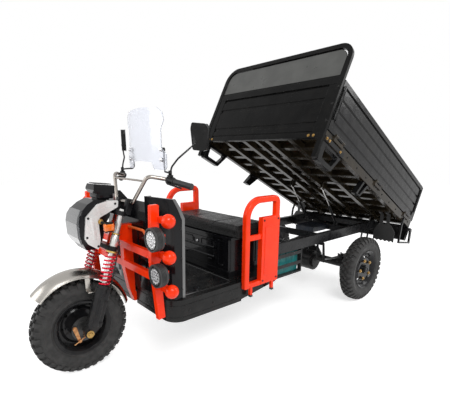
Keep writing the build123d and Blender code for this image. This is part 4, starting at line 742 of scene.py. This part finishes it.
# ---- Mirrors -------------------------------------------------------------------------------------
# Black moulded shells with rounded corners on bent steel stems. The rider's side holds a silvered glass
# behind a thin rim.
mirror_glass = painted("mirror silvering", (0.72, 0.73, 0.74), (0.76, 0.77, 0.78), (0.8, 0.8, 0.8), (0.0, 0.03), 20.0,
                       0.00001, metallic=1.0, edge=0.0003)
mirror_outline = [(-44, 70), (34, 62), (52, 40), (40, -66), (26, -76), (-40, -70), (-52, 40)]
aim_ahead, aim_out = 0.895, 0.446
glasses = bmesh.new()
shell_rims = bmesh.new()
shells = bmesh.new()
shells.from_mesh(nodes["mirrors"].data)
bmesh.ops.transform(shells, verts=shells.verts, matrix=nodes["mirrors"].matrix_world)
bmesh.ops.remove_doubles(shells, verts=shells.verts, dist=1e-5)
for side in (-1, 1):
    facing = Matrix(((-aim_out, 0, aim_ahead, 0), (side * aim_ahead, 0, side * aim_out, 0), (0, 1, 0, 0), (0, 0, 0, 1)))
    facing.translation = ahead_of_axle(-0.582, side * 0.440, 1.076)
    local = facing.inverted()
    old = [face for face in shells.faces if all((local @ vert.co).xy.length > 0.045 for vert in face.verts)
           and (local @ face.calc_center_median()).length < 0.1]
    bmesh.ops.delete(shells, geom=old, context="FACES")
    moulded = outline_prism(shells, [(0.001 * x, 0.001 * z) for x, z in mirror_outline], 0.0278,
                            facing @ Matrix.Translation((0, 0, 0.0139)))
    for crosswise, offset in ((True, 0.013), (False, 0.008)):
        parts = {item for item in moulded if item.is_valid and isinstance(item, bmesh.types.BMEdge)}
        rim = []
        for edge in parts:
            start, end = (local @ vert.co for vert in edge.verts)
            along = abs((end - start).normalized().z) > 0.5
            if along == crosswise and (crosswise or min(start.z, end.z) > 0.02):
                rim.append(edge)
        grown = bmesh.ops.bevel(shells, geom=rim, offset=offset, affect="EDGES", segments=5, profile=0.5,
                                material=-1, clamp_overlap=True)
        moulded = [item for item in moulded if item.is_valid] + grown["edges"]
    corners = [(0.00088 * x, 0.00088 * z) for x, z in mirror_outline]
    outline_prism(glasses, corners, 0.0016, facing @ Matrix.Translation((0, 0, -0.0004)))
    outline_prism(shell_rims, [(0.001 * x, 0.001 * z) for x, z in mirror_outline], 0.004,
                  facing @ Matrix.Translation((0, 0, -0.0015)))
make_piece("mirror_glasses", glasses, mirror_glass, "steering")
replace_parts(make_piece("mirror_shells", shells, grained_black, "steering"), "mirrors")
for face in list(shell_rims.faces):
    if len(face.verts) > 4:
        bmesh.ops.inset_region(shell_rims, faces=[face], thickness=0.006, depth=-0.0012)
make_piece("mirror_rims", shell_rims, grained_black, "steering", 25.0)

# ---- Windscreen ----------------------------------------------------------------------------------
# A curved sheet of polycarbonate, faintly milky blue, with polished edges. Washers and dome nuts clamp it
# to two black posts.
milky = clear_material("milky polycarbonate", (0.87, 0.89, 0.955), 0.10, 0.84)
dress(milky, "windshield")
screen_nuts = bmesh.new()
nut_outline = [(0.0, 0.0), (0.011, 0.0), (0.011, 0.0018), (0.0065, 0.002), (0.0065, 0.006), (0.0045, 0.0088),
               (0.0, 0.0095)]
screen_radius = 0.700
screen_front = -0.462
clamp_y = 0.186
angle = math.asin(clamp_y / screen_radius)
nut_x = screen_front - screen_radius + (screen_radius + 0.004) * math.cos(angle) + 0.0002
for side in (-1, 1):
    for z in (0.952, 1.008):
        outward = (math.cos(angle), side * math.sin(angle), 0)
        facing = aimed(ahead_of_axle(nut_x, side * (clamp_y + 0.0006), z), outward)
        add_ring(screen_nuts, facing, nut_outline, 24)
make_piece("screen_nuts", screen_nuts, steel, "steering")

# ---- Red frame -----------------------------------------------------------------------------------
# Neck, bumper columns and side guards are welded box tube in a thick gloss powder coat with a faint
# orange peel. Weld beads show at the joints, and the corners are paler, partly chalky coat and partly a painted
# highlight.
red_coat = painted("red powder coat", (0.86, 0.030, 0.002), (0.94, 0.040, 0.003), (0.95, 0.12, 0.04), (0.16, 0.28),
                   330.0, 0.0002, coat=0.06, dust=0.04, shine=0.2)
dress(red_coat, "neck_frame", "front_bumper", "side_guard_left", "side_guard_right")
ball_places = ((-0.306, 0.664), (-0.304, 0.477), (-0.314, 0.290))
bumper_welds = bmesh.new()
weld_bead = [(0.013, 0.0), (0.0185, 0.0), (0.0200, 0.003), (0.0185, 0.006), (0.013, 0.006)]
for side in (-1, 1):
    for x, z in ball_places:
        seat = aimed(ahead_of_axle(x, side * 0.484, z), (0, side, 0))
        add_ring(bumper_welds, seat, weld_bead, 32)
    for top in (0.472, 0.350):
        middle = ahead_of_axle(-0.294 - 0.013, side * 0.4085, top - 0.021)
        add_block(bumper_welds, middle - Vector((0.0155, 0.0025, 0.0235)), middle + Vector((0.0155, 0.0025, 0.0235)),
                  0.002, 3)
make_piece("bumper_welds", bumper_welds, red_coat, "chassis")
guard_low, guard_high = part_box("side_guard_left")
guard_screws = bmesh.new()
guard_feet = bmesh.new()
for side in (-1, 1):
    face_y = side * (guard_high.y - 0.003 + 0.0002)
    for x in (0.018, 0.152):
        for z in (0.024, 0.436):
            add_bolt(guard_screws, (guard_low.x + x, face_y, guard_low.z + 0.066 + z), (0, side, 0), 0.008, 0.004)
    for x in (guard_low.x + 0.049, guard_high.x - 0.061):
        add_block(guard_feet, (x - 0.0105, side * 0.455 - 0.0115, guard_low.z), (x + 0.0105, side * 0.455 + 0.0115,
                                                                                guard_low.z + 0.014), 0.002, 3)
make_piece("guard_screws", guard_screws, satin_black, "chassis")
make_piece("guard_feet_caps", guard_feet, rubber, "chassis")

# ---- Work lamps ----------------------------------------------------------------------------------
# Round lamps in ribbed black housings: a bezel, a clear front glass, and a nest of small silvered cups
# with a bright chip in each.
dress(rubber, "bumper_lamps")
cup_outline = [(0.0020, 0.0), (0.0052, 0.0004), (0.0080, 0.0028), (0.0086, 0.0028), (0.0066, 0.0)]
lamp_places = ((-0.268, 0.581), (-0.282, 0.391))
chips = painted("pale lamp chips", (0.40, 0.38, 0.33), (0.50, 0.48, 0.42), (0.6, 0.6, 0.55), (0.3, 0.4), 400.0, 0.0001)
lamp_glass = clear_material("lamp front glass", (0.96, 0.96, 0.96), 0.01, 0.97)
for name, side in (("left", 1), ("right", -1)):
    cups = bmesh.new()
    dots = bmesh.new()
    housing = bmesh.new()
    glass = bmesh.new()
    for x, z in lamp_places:
        centre = ahead_of_axle(x + 0.0003, side * 0.506, z)
        face = aimed(centre + Vector((0.052, 0, 0)), (1, 0, 0))
        add_ring(housing, face, [(0.0455, 0.0), (0.0538, 0.0), (0.0538, 0.0050), (0.051, 0.0056), (0.0475, 0.003)])
        for k in range(4):
            groove = aimed(centre + Vector((0.024 + 0.007 * k, 0, 0)), (1, 0, 0))
            add_ring(housing, groove, [(0.0605, 0.0), (0.0618, 0.0008), (0.0618, 0.0028), (0.0605, 0.0036)], 44)
        add_ring(glass, face, [(0.0, 0.0036), (0.0458, 0.0036), (0.0458, 0.0048), (0.0, 0.0052)], 40)
        for ring, count in ((0.0, 1), (0.0165, 6), (0.0335, 12)):
            for k in range(count):
                angle = 2 * math.pi * k / count
                seat = face @ Matrix.Translation((ring * math.cos(angle), ring * math.sin(angle), 0.0003))
                add_ring(cups, seat, cup_outline, 12)
                bmesh.ops.create_cone(dots, cap_ends=True, segments=8, radius1=0.0018, radius2=0.0014, depth=0.0012,
                                      matrix=seat @ Matrix.Translation((0, 0, 0.0006)))
    make_piece("lamp_cups_" + name, cups, silvered, "chassis", 60.0)
    make_piece("lamp_chips_" + name, dots, chips, "chassis")
    make_piece("lamp_housings_" + name, housing, grained_black, "chassis")
    make_piece("lamp_glass_" + name, glass, lamp_glass, "chassis")

# ---- Leg shield and floor ------------------------------------------------------------------------
# Injection-moulded leg shield and floor tray in fine-grained black. A satin metal strip finishes the
# shield's rear edges, and a loose glossy mat with a rim and pressed studs lies on the floor.
dress(gloss_black, "leg_shield")
dress(grained_black, "footboard")
shield_low, shield_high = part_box("leg_shield")
floor_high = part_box("footboard")[1]
strip_metal = brushed_metal("satin edge strip", (0.17, 0.17, 0.17), (1.0, 1.0, 0.08), (0.3, 0.45), 0.00005)
shield_x = shield_low.x + 0.116
strip = bmesh.new()
strip_outline = [(-0.0605, 0.7535), (-0.0905, 0.705), (-0.1165, 0.645), (-0.1085, 0.182), (-0.0905, 0.182),
                 (-0.0975, 0.640), (-0.0735, 0.697), (-0.0425, 0.7535)]
for side in (-1, 1):
    seat = Matrix.Translation((shield_x, side * 0.4212, front_axle.z)) @ Matrix.Rotation(math.pi / 2, 4, "X")
    outline_prism(strip, strip_outline, 0.0028, seat)
make_piece("shield_strips", strip, strip_metal, "chassis", 25.0)

seat_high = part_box("seat_box")[1]
mat = bmesh.new()
add_block(mat, (seat_high.x + 0.012, -0.395, floor_high.z), (shield_x - 0.020, 0.395, floor_high.z + 0.0035), 0.001, 2,
          2, 0.035)
mat_top = max((face for face in mat.faces if face.normal.z > 0.9), key=lambda face: face.calc_area())
bmesh.ops.inset_region(mat, faces=[mat_top], thickness=0.014, depth=0.0)
bmesh.ops.inset_region(mat, faces=[mat_top], thickness=0.0015, depth=-0.0012)
mat_rubber, mat_tree, mat_shader = material_with_shader("gloss floor mat")
mat_shader.inputs["Coat Weight"].default_value = 0.4
mat_shader.inputs["Coat Roughness"].default_value = 0.12


def pattern(tree, kind, scale):
    """A texture node laid on the piece's own coordinates."""
    texture = tree.nodes.new(kind)
    texture.inputs["Scale"].default_value = scale
    coordinates = tree.nodes.new("ShaderNodeTexCoord")
    link(tree, coordinates.outputs["Object"], texture.inputs["Vector"])
    return texture


studs = pattern(mat_tree, "ShaderNodeTexVoronoi", 55.0)
studs.inputs["Randomness"].default_value = 0.0
scuffs = remap(mat_tree, noise(mat_tree, 14.0, 8.0), 0.42, 0.7, 0.0, 1.0)
link(mat_tree, blend_colours(mat_tree, scuffs, (0.008, 0.008, 0.009), (0.020, 0.019, 0.018)),
     mat_shader.inputs["Base Color"], remap(mat_tree, scuffs, 0.0, 1.0, 0.10, 0.30), mat_shader.inputs["Roughness"],
     bump(mat_tree, remap(mat_tree, studs.outputs["Distance"], 0.25, 0.45, 1.0, 0.0), 0.0006),
     mat_shader.inputs["Normal"])
make_piece("floor_mat", mat, mat_rubber, "chassis")

floor_screws = bmesh.new()
for side in (-1, 1):
    for z in (0.240, 0.420, 0.590):
        seat = Vector((shield_x - 0.090, side * (shield_high.y + 0.0002), front_axle.z + z))
        add_bolt(floor_screws, seat, (0, side, 0), 0.009, 0.0045)
    for x in (0.12, 0.30):
        add_bolt(floor_screws, (floor_high.x - x, side * (floor_high.y + 0.0002), front_axle.z + 0.105), (0, side, 0),
                 0.009, 0.0045)
make_piece("floor_screws", floor_screws, satin_black, "chassis")

# ---- Seat box ------------------------------------------------------------------------------------
# A gloss black moulding with a raised frame round its door. The door has a stepped panel and a quarter-turn
# latch in its recess.
dress(gloss_black, "seat_box", "seat_box_door")
box_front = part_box("seat_box_door")[1].x - 0.0103


def add_frame(mesh, x0, x1, y, z, width, corner):
    """Add an upright rectangular frame with rounded corners, from x0 to x1, y and z being its outer limits."""
    made = set(mesh.verts)
    add_block(mesh, (x0, y[0], z[0]), (x1, y[1], z[1]), 0.0, 1, 0, corner)
    front = max((face for face in mesh.faces if face.normal.x > 0.9 and not set(face.verts) & made),
                key=lambda face: face.calc_area())
    bmesh.ops.inset_region(mesh, faces=[front], thickness=width * 0.3, depth=0.0)
    bmesh.ops.inset_region(mesh, faces=[front], thickness=width * 0.7, depth=-(x1 - x0) * 0.8)


frames = bmesh.new()
axle_z = front_axle.z
for y in ((-0.300, -0.236), (0.216, 0.280)):
    add_frame(frames, box_front - 0.001, box_front + 0.0045, y, (axle_z + 0.250, axle_z + 0.425), 0.010, 0.016)
make_piece("seat_box_frames", frames, gloss_black, "chassis", 25.0)
door_frames = bmesh.new()
upper_row = (axle_z + 0.360, axle_z + 0.408)
for y, z, width in (((-0.206, 0.186), (axle_z + 0.293, axle_z + 0.352), 0.010),
                    ((-0.206, -0.060), upper_row, 0.008), ((0.040, 0.186), upper_row, 0.008)):
    add_frame(door_frames, box_front + 0.0035, box_front + 0.0085, y, z, width, width + 0.004)
make_piece("seat_door_frames", door_frames, gloss_black, "seat_door", 25.0)
latch = bmesh.new()
latch_seat = aimed((box_front + 0.0032, -0.010, axle_z + 0.376), (1, 0, 0))
add_ring(latch, latch_seat, [(0.0, 0.0), (0.0105, 0.0), (0.0105, 0.002), (0.0085, 0.0035), (0.0, 0.0035)], 32)
add_block(latch, (-0.0025, -0.0075, 0.003), (0.0025, 0.0075, 0.0062), 0.0008, 2, None, 0.0, latch_seat)
make_piece("seat_door_latch", latch, steel, "seat_door")

# ---- Seat cushion --------------------------------------------------------------------------------
# A thick foam pad in black grained leatherette, full at the top and pulled in at the stitched seam round
# its sides, with two sewn channels across. Its flat base stands on the box.
leatherette, cover_tree, cover_shader = material_with_shader("black leatherette")
cover_shader.inputs["Specular IOR Level"].default_value = 0.07
cover_shader.inputs["Coat Weight"].default_value = 0.02
cover_shader.inputs["Coat Roughness"].default_value = 0.25
grains = pattern(cover_tree, "ShaderNodeTexVoronoi", 420.0)
grains.feature = "DISTANCE_TO_EDGE"
creases = noise(cover_tree, 30.0, 4.0, stretch=(0.6, 1.0, 1.0))
leather_height = combine(cover_tree, "ADD", remap(cover_tree, grains.outputs["Distance"], 0.0, 0.12, 0.0, 0.35),
                         combine(cover_tree, "MULTIPLY", creases, 1.4))
link(cover_tree, blend_colours(cover_tree, remap(cover_tree, noise(cover_tree, 12.0, 5.0), 0.35, 0.7, 0.0, 1.0),
                               (0.008, 0.008, 0.008), (0.014, 0.014, 0.014)), cover_shader.inputs["Base Color"],
     remap(cover_tree, noise(cover_tree, 20.0, 4.0), 0.3, 0.7, 0.24, 0.40), cover_shader.inputs["Roughness"],
     bump(cover_tree, leather_height, 0.0007), cover_shader.inputs["Normal"])
cushion_low, cushion_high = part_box("seat_cushion")
pad_mesh = bmesh.new()
add_block(pad_mesh, (cushion_low.x + 0.009, cushion_low.y + 0.009, cushion_low.z + 0.0005),
          (cushion_high.x - 0.009, cushion_high.y - 0.009, cushion_high.z - 0.011), 0.016, 4, 2, 0.026)
pad_data = bpy.data.meshes.new("seat_pad")
pad_mesh.to_mesh(pad_data)
pad_mesh.free()
seat_pad = bpy.data.objects.new("seat_pad", pad_data)
bpy.context.scene.collection.objects.link(seat_pad)


def applied(piece):
    """Bake a piece's live modifiers into its mesh."""
    shaped = bpy.data.meshes.new_from_object(piece.evaluated_get(bpy.context.evaluated_depsgraph_get()))
    piece.modifiers.clear()
    piece.data = shaped


remesh = seat_pad.modifiers.new("even faces", "REMESH")
remesh.mode = "VOXEL"
remesh.voxel_size = 0.006
applied(seat_pad)
start = [vert.co.copy() for vert in seat_pad.data.vertices]
base = seat_pad.vertex_groups.new(name="base")
base.add([k for k, place in enumerate(start) if place.z < cushion_low.z + 0.009], 1.0, "REPLACE")
cloth = seat_pad.modifiers.new("filled cover", "CLOTH")
cloth.settings.quality = 5
cloth.settings.mass = 0.3
cloth.settings.use_pressure = True
cloth.settings.uniform_pressure_force = 4.0
cloth.settings.vertex_group_mass = "base"
cloth.settings.effector_weights.gravity = 0.0
for step in range(1, 21):
    bpy.context.scene.frame_set(step)
applied(seat_pad)
bpy.context.scene.frame_set(1)
most_swell = 0.012
seams = ((cushion_low.z + 0.016, 0.0022), (cushion_high.z - 0.019, 0.0020))
seam_depth = 0.0028
channel_y = 0.14
channel_depth = 0.0045
for vert, place in zip(seat_pad.data.vertices, start):
    moved = vert.co - place
    moved.length = min(moved.length, most_swell)
    vert.co = place + moved
pad_mesh = bmesh.new()
pad_mesh.from_mesh(seat_pad.data)
bmesh.ops.smooth_vert(pad_mesh, verts=pad_mesh.verts, factor=0.5, use_axis_x=True, use_axis_y=True, use_axis_z=True)
bmesh.ops.subdivide_edges(pad_mesh, edges=pad_mesh.edges, cuts=1, use_grid_fill=True, smooth=0.4)
middle = (cushion_low + cushion_high) / 2
for vert in pad_mesh.verts:
    place = vert.co
    outward = Vector((place.x - middle.x, place.y - middle.y, 0.0))
    seam = sum(math.exp(-((place.z - height) / width) ** 2) for height, width in seams)
    if seam > 0.01 and outward.length > 0.1:
        place -= outward.normalized() * seam_depth * seam
    if place.z > cushion_high.z - 0.03:
        channel = sum(math.exp(-((place.y - y) / 0.004) ** 2) for y in (-channel_y, channel_y))
        place.z -= channel_depth * channel
    place.x = min(max(place.x, cushion_low.x), cushion_high.x)
    place.y = min(max(place.y, cushion_low.y), cushion_high.y)
    place.z = min(max(place.z, cushion_low.z + 0.0002), cushion_high.z)
bpy.data.objects.remove(seat_pad)
cover = make_piece("seat_cover", pad_mesh, leatherette, "chassis", 60.0)
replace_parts(cover, "seat_cushion")

# ---- Batteries and wiring ------------------------------------------------------------------------
# Four sealed batteries with ribbed teal cases and bolted posts. Corrugated orange sleeve carries the loom
# across the front.
teal = painted("teal battery case", (0.006, 0.15, 0.155), (0.010, 0.21, 0.21), (0.16, 0.34, 0.32), (0.3, 0.45), 300.0,
               0.0003, dust=0.15)
dress(teal, "batteries")
battery_low, battery_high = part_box("batteries")
battery_ribs = bmesh.new()
posts = bmesh.new()
battery_pitch = (battery_high.x - battery_low.x + 0.004) / 4
for k in range(4):
    x0 = battery_low.x + k * battery_pitch
    for side in (-1, 1):
        for share in (0.2, 0.5, 0.8):
            x = x0 + share * (battery_pitch - 0.004)
            rib = sorted((side * (battery_high.y - 0.001), side * (battery_high.y + 0.0025)))
            add_block(battery_ribs, (x - 0.003, rib[0], battery_low.z + 0.015),
                      (x + 0.003, rib[1], battery_high.z - 0.03), 0.001, 1)
        add_bolt(posts, (x0 + battery_pitch / 2, side * 0.2, battery_high.z + 0.0002), (0, 0, 1), 0.012, 0.004)
make_piece("battery_ribs", battery_ribs, teal, "chassis")
make_piece("battery_posts", posts, dull_gold, "chassis")
sleeve, sleeve_tree, sleeve_shader = material_with_shader("orange corrugated sleeve")
bands = pattern(sleeve_tree, "ShaderNodeTexWave", 0.314 / 0.005)
bands.wave_type = "BANDS"
bands.bands_direction = "Y"
# The corrugation's crests are painted lighter and its grooves darker, as painted highlight and shade.
link(sleeve_tree, blend_colours(sleeve_tree, bands.outputs["Fac"], (0.60, 0.07, 0.004), (0.90, 0.17, 0.012)),
     sleeve_shader.inputs["Base Color"], remap(sleeve_tree, noise(sleeve_tree, 60.0), 0.3, 0.7, 0.3, 0.45),
     sleeve_shader.inputs["Roughness"], bump(sleeve_tree, bands.outputs["Fac"], 0.0012), sleeve_shader.inputs["Normal"])
dress(sleeve, "wiring_conduit")

# ---- Axle, springs and controller ----------------------------------------------------------------
# The axle housing is bolted round its middle; nuts draw the U-bolts up to the springs. The controller has
# a finned dark-blue lid.
axle_bolts = bmesh.new()
rear_axle_place = Vector(joints["rear_left_wheel_roll"]["pos_m"])
for k in range(10):
    angle = 2 * math.pi * (k + 0.5) / 10
    seat = Vector((rear_axle_place.x + 0.104 * math.cos(angle), 0.0062, rear_axle_place.z + 0.104 * math.sin(angle)))
    add_bolt(axle_bolts, seat, (0, 1, 0), 0.011, 0.006)
for side in (-1, 1):
    for x in (-0.022, 0.022):
        for y in (0.310, 0.370):
            seat = Vector((rear_axle_place.x + x, side * y, rear_axle_place.z + 0.0345 + 0.054))
            add_bolt(axle_bolts, seat, (0, 0, 1), 0.012, 0.007)
make_piece("axle_bolts", axle_bolts, steel, "chassis")
controller_blue = painted("dark controller case", (0.010, 0.014, 0.022), (0.018, 0.024, 0.036), (0.2, 0.2, 0.22),
                          (0.3, 0.45), 260.0, 0.0004, metallic=0.4, dust=0.3, dust_top=0.9)
dress(controller_blue, "controller_box")
box_low, box_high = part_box("controller_box")
fins = bmesh.new()
for k in range(14):
    y = box_low.y + 0.012 + k * (box_high.y - box_low.y - 0.024) / 13
    add_block(fins, (box_low.x + 0.012, y - 0.0015, box_high.z - 0.001), (box_high.x - 0.012, y + 0.0015,
                                                                         box_high.z + 0.008), 0.0007, 1)
make_piece("controller_fins", fins, controller_blue, "chassis")

# ---- Bed -----------------------------------------------------------------------------------------
# Pressed and welded sheet in gloss black paint, slightly wavy where the sheet is thin: floor on ribs, drop
# sides and tailgate on pin hinges. The upper board of the headboard carries a plain satin grey film.
floor_mount = next(mount for mount in frame["record"]["mounts"] if mount["name"] == "load_floor")
bed_up = Vector(floor_mount["axis"]).normalized()
bed_ahead = Vector((0, 1, 0)).cross(bed_up)
bed_frame = Matrix((bed_ahead, Vector((0, 1, 0)), bed_up)).transposed().to_4x4()
mount_ahead, mount_up = 0.850, 0.062
bed_frame.translation = Vector(floor_mount["pos_m"]) - mount_ahead * bed_ahead - mount_up * bed_up


def sheet_paint(name, dark, light, wave_depth, dust_and_reflection_colour, shine=0.15, coat=0.08):
    """Gloss paint over thin pressed sheet: broad dents, orange peel, dull patches, and edges lightened partly as thin
    paint and partly as a painted highlight.
    """
    material, tree, shader = material_with_shader(name)
    shader.inputs["Coat Weight"].default_value = coat
    shader.inputs["Coat Roughness"].default_value = 0.04
    shader.inputs["Specular IOR Level"].default_value = shine
    rounded, edges = edge_mask(tree, 0.0018)
    colour = blend_colours(tree, remap(tree, noise(tree, 5.0, 4.0), 0.35, 0.65, 0.0, 1.0), dark, light)
    # Edges are lightened: partly paint worn thin, partly a painted highlight.
    wear_and_painted_highlight = combine(tree, "MULTIPLY", edges, remap(tree, noise(tree, 50.0), 0.42, 0.62, 0.0, 0.7))
    colour = blend_colours(tree, wear_and_painted_highlight, colour, (0.09, 0.085, 0.08))
    # Patches blend towards the dust colour, which under the bed is browned as a painted reflection.
    film = remap(tree, noise(tree, 11.0, 7.0), 0.5, 0.75, 0.0, 0.35)
    colour = blend_colours(tree, film, colour, dust_and_reflection_colour)
    dents = bump(tree, noise(tree, 13.0, 3.0), wave_depth, rounded)
    link(tree, colour, shader.inputs["Base Color"], remap(tree, noise(tree, 15.0, 5.0), 0.3, 0.7, 0.10, 0.26),
         shader.inputs["Roughness"], bump(tree, noise(tree, 260.0, 2.0), 0.0002, dents), shader.inputs["Normal"])
    return material


bed_black = sheet_paint("gloss black bed paint", (0.004, 0.004, 0.0045), (0.008, 0.008, 0.008), 0.0026,
                        (0.018, 0.017, 0.015))
# Under the bed the paint and its dust film are tinted brown as a painted reflection of the floor.
under_paint_with_painted_reflection = sheet_paint("black paint under the bed with painted floor reflection", (0.014, 0.011, 0.007), (0.030, 0.023, 0.014), 0.0012,
                          (0.055, 0.043, 0.028))
board_black = sheet_paint("deep black headboard paint", (0.003, 0.003, 0.003), (0.006, 0.006, 0.006), 0.0016,
                          (0.012, 0.011, 0.010), 0.06, 0.02)
dress(bed_black, "bed_brackets", "side_left", "side_right", "tailgate")
dress(board_black, "headboard")
dress(under_paint_with_painted_reflection, "bed_frame")
film_grey = painted("satin grey film", (0.040, 0.041, 0.038), (0.056, 0.057, 0.053), (0.12, 0.12, 0.12), (0.26, 0.42),
                    90.0, 0.0004, edge=0.0008)
film = bmesh.new()
for u0, u1 in ((1.7267, 1.7275), (1.7213, 1.7221)):
    sheet = add_block(film, (u0, -0.571, 0.453), (u1, 0.571, 0.650), 0.0)
    upper = {edge for vert in sheet for edge in vert.link_edges
             if all(end.co.z > 0.64 for end in edge.verts) and abs(edge.verts[0].co.y - edge.verts[1].co.y) < 0.1}
    bmesh.ops.bevel(film, geom=list(upper), offset=0.074, affect="EDGES", segments=10, profile=0.5, material=-1)
bmesh.ops.transform(film, verts=film.verts, matrix=bed_frame)
make_piece("headboard_film", film, film_grey, "bed")

bed_bolts = bmesh.new()
rivets = bmesh.new()
forward = bed_frame.to_3x3() @ Vector((1, 0, 0))
for side in (-1, 1):
    for v in (0.500, 0.540):
        add_bolt(bed_bolts, bed_frame @ Vector((1.7335, side * v, 0.018)), forward, 0.012, 0.006)
    for u, w in ((1.690, 0.017), (1.655, 0.017), (1.500, 0.017)):
        add_bolt(bed_bolts, bed_frame @ Vector((u, side * 0.6202, w)), (0, side, 0), 0.012, 0.006)
    for k in range(9):
        seat = bed_frame @ Vector((0.07 + 0.165 * k, side * 0.6162, 0.032))
        add_bolt(rivets, seat, (0, side, 0), 0.010, 0.004)
    for w in (0.12, 0.24, 0.36):
        seat = bed_frame @ Vector((1.7355, side * 0.599, w))
        add_bolt(rivets, seat, forward, 0.010, 0.004)
make_piece("bed_bolts", bed_bolts, dull_gold, "bed")
make_piece("bed_rivets", rivets, bed_black, "bed")

# ---- Bed's tail ----------------------------------------------------------------------------------
# A folded board under the floor carries two ribbed red lamps, and toothed rubber flaps hang on straps.
dress(rubber, "mud_flaps")
dress(bed_black, "tail_board")
tail_red = clear_material("red tail lens", (0.70, 0.010, 0.008), 0.05, 0.15, coat=0.8)
dress(tail_red, "tail_lamps")
lamp_ribs = bmesh.new()
lamp_rims = bmesh.new()
lamp_y = 0.385
for side in (-1, 1):
    for k in range(9):
        v = side * lamp_y - 0.064 + 0.016 * k
        add_block(lamp_ribs, (-0.0538, v - 0.0018, -0.090), (-0.0512, v + 0.0018, -0.042), 0.0008, 1, None, 0.0,
                  bed_frame)
    for edge in (-0.086, 0.083):
        v = side * lamp_y + edge
        add_block(lamp_rims, (-0.050, v, -0.098), (-0.0303, v + 0.003, -0.034), 0.001, 1, None, 0.0, bed_frame)
make_piece("tail_lamp_ribs", lamp_ribs, tail_red, "bed")
make_piece("tail_lamp_rims", lamp_rims, grained_black, "bed")
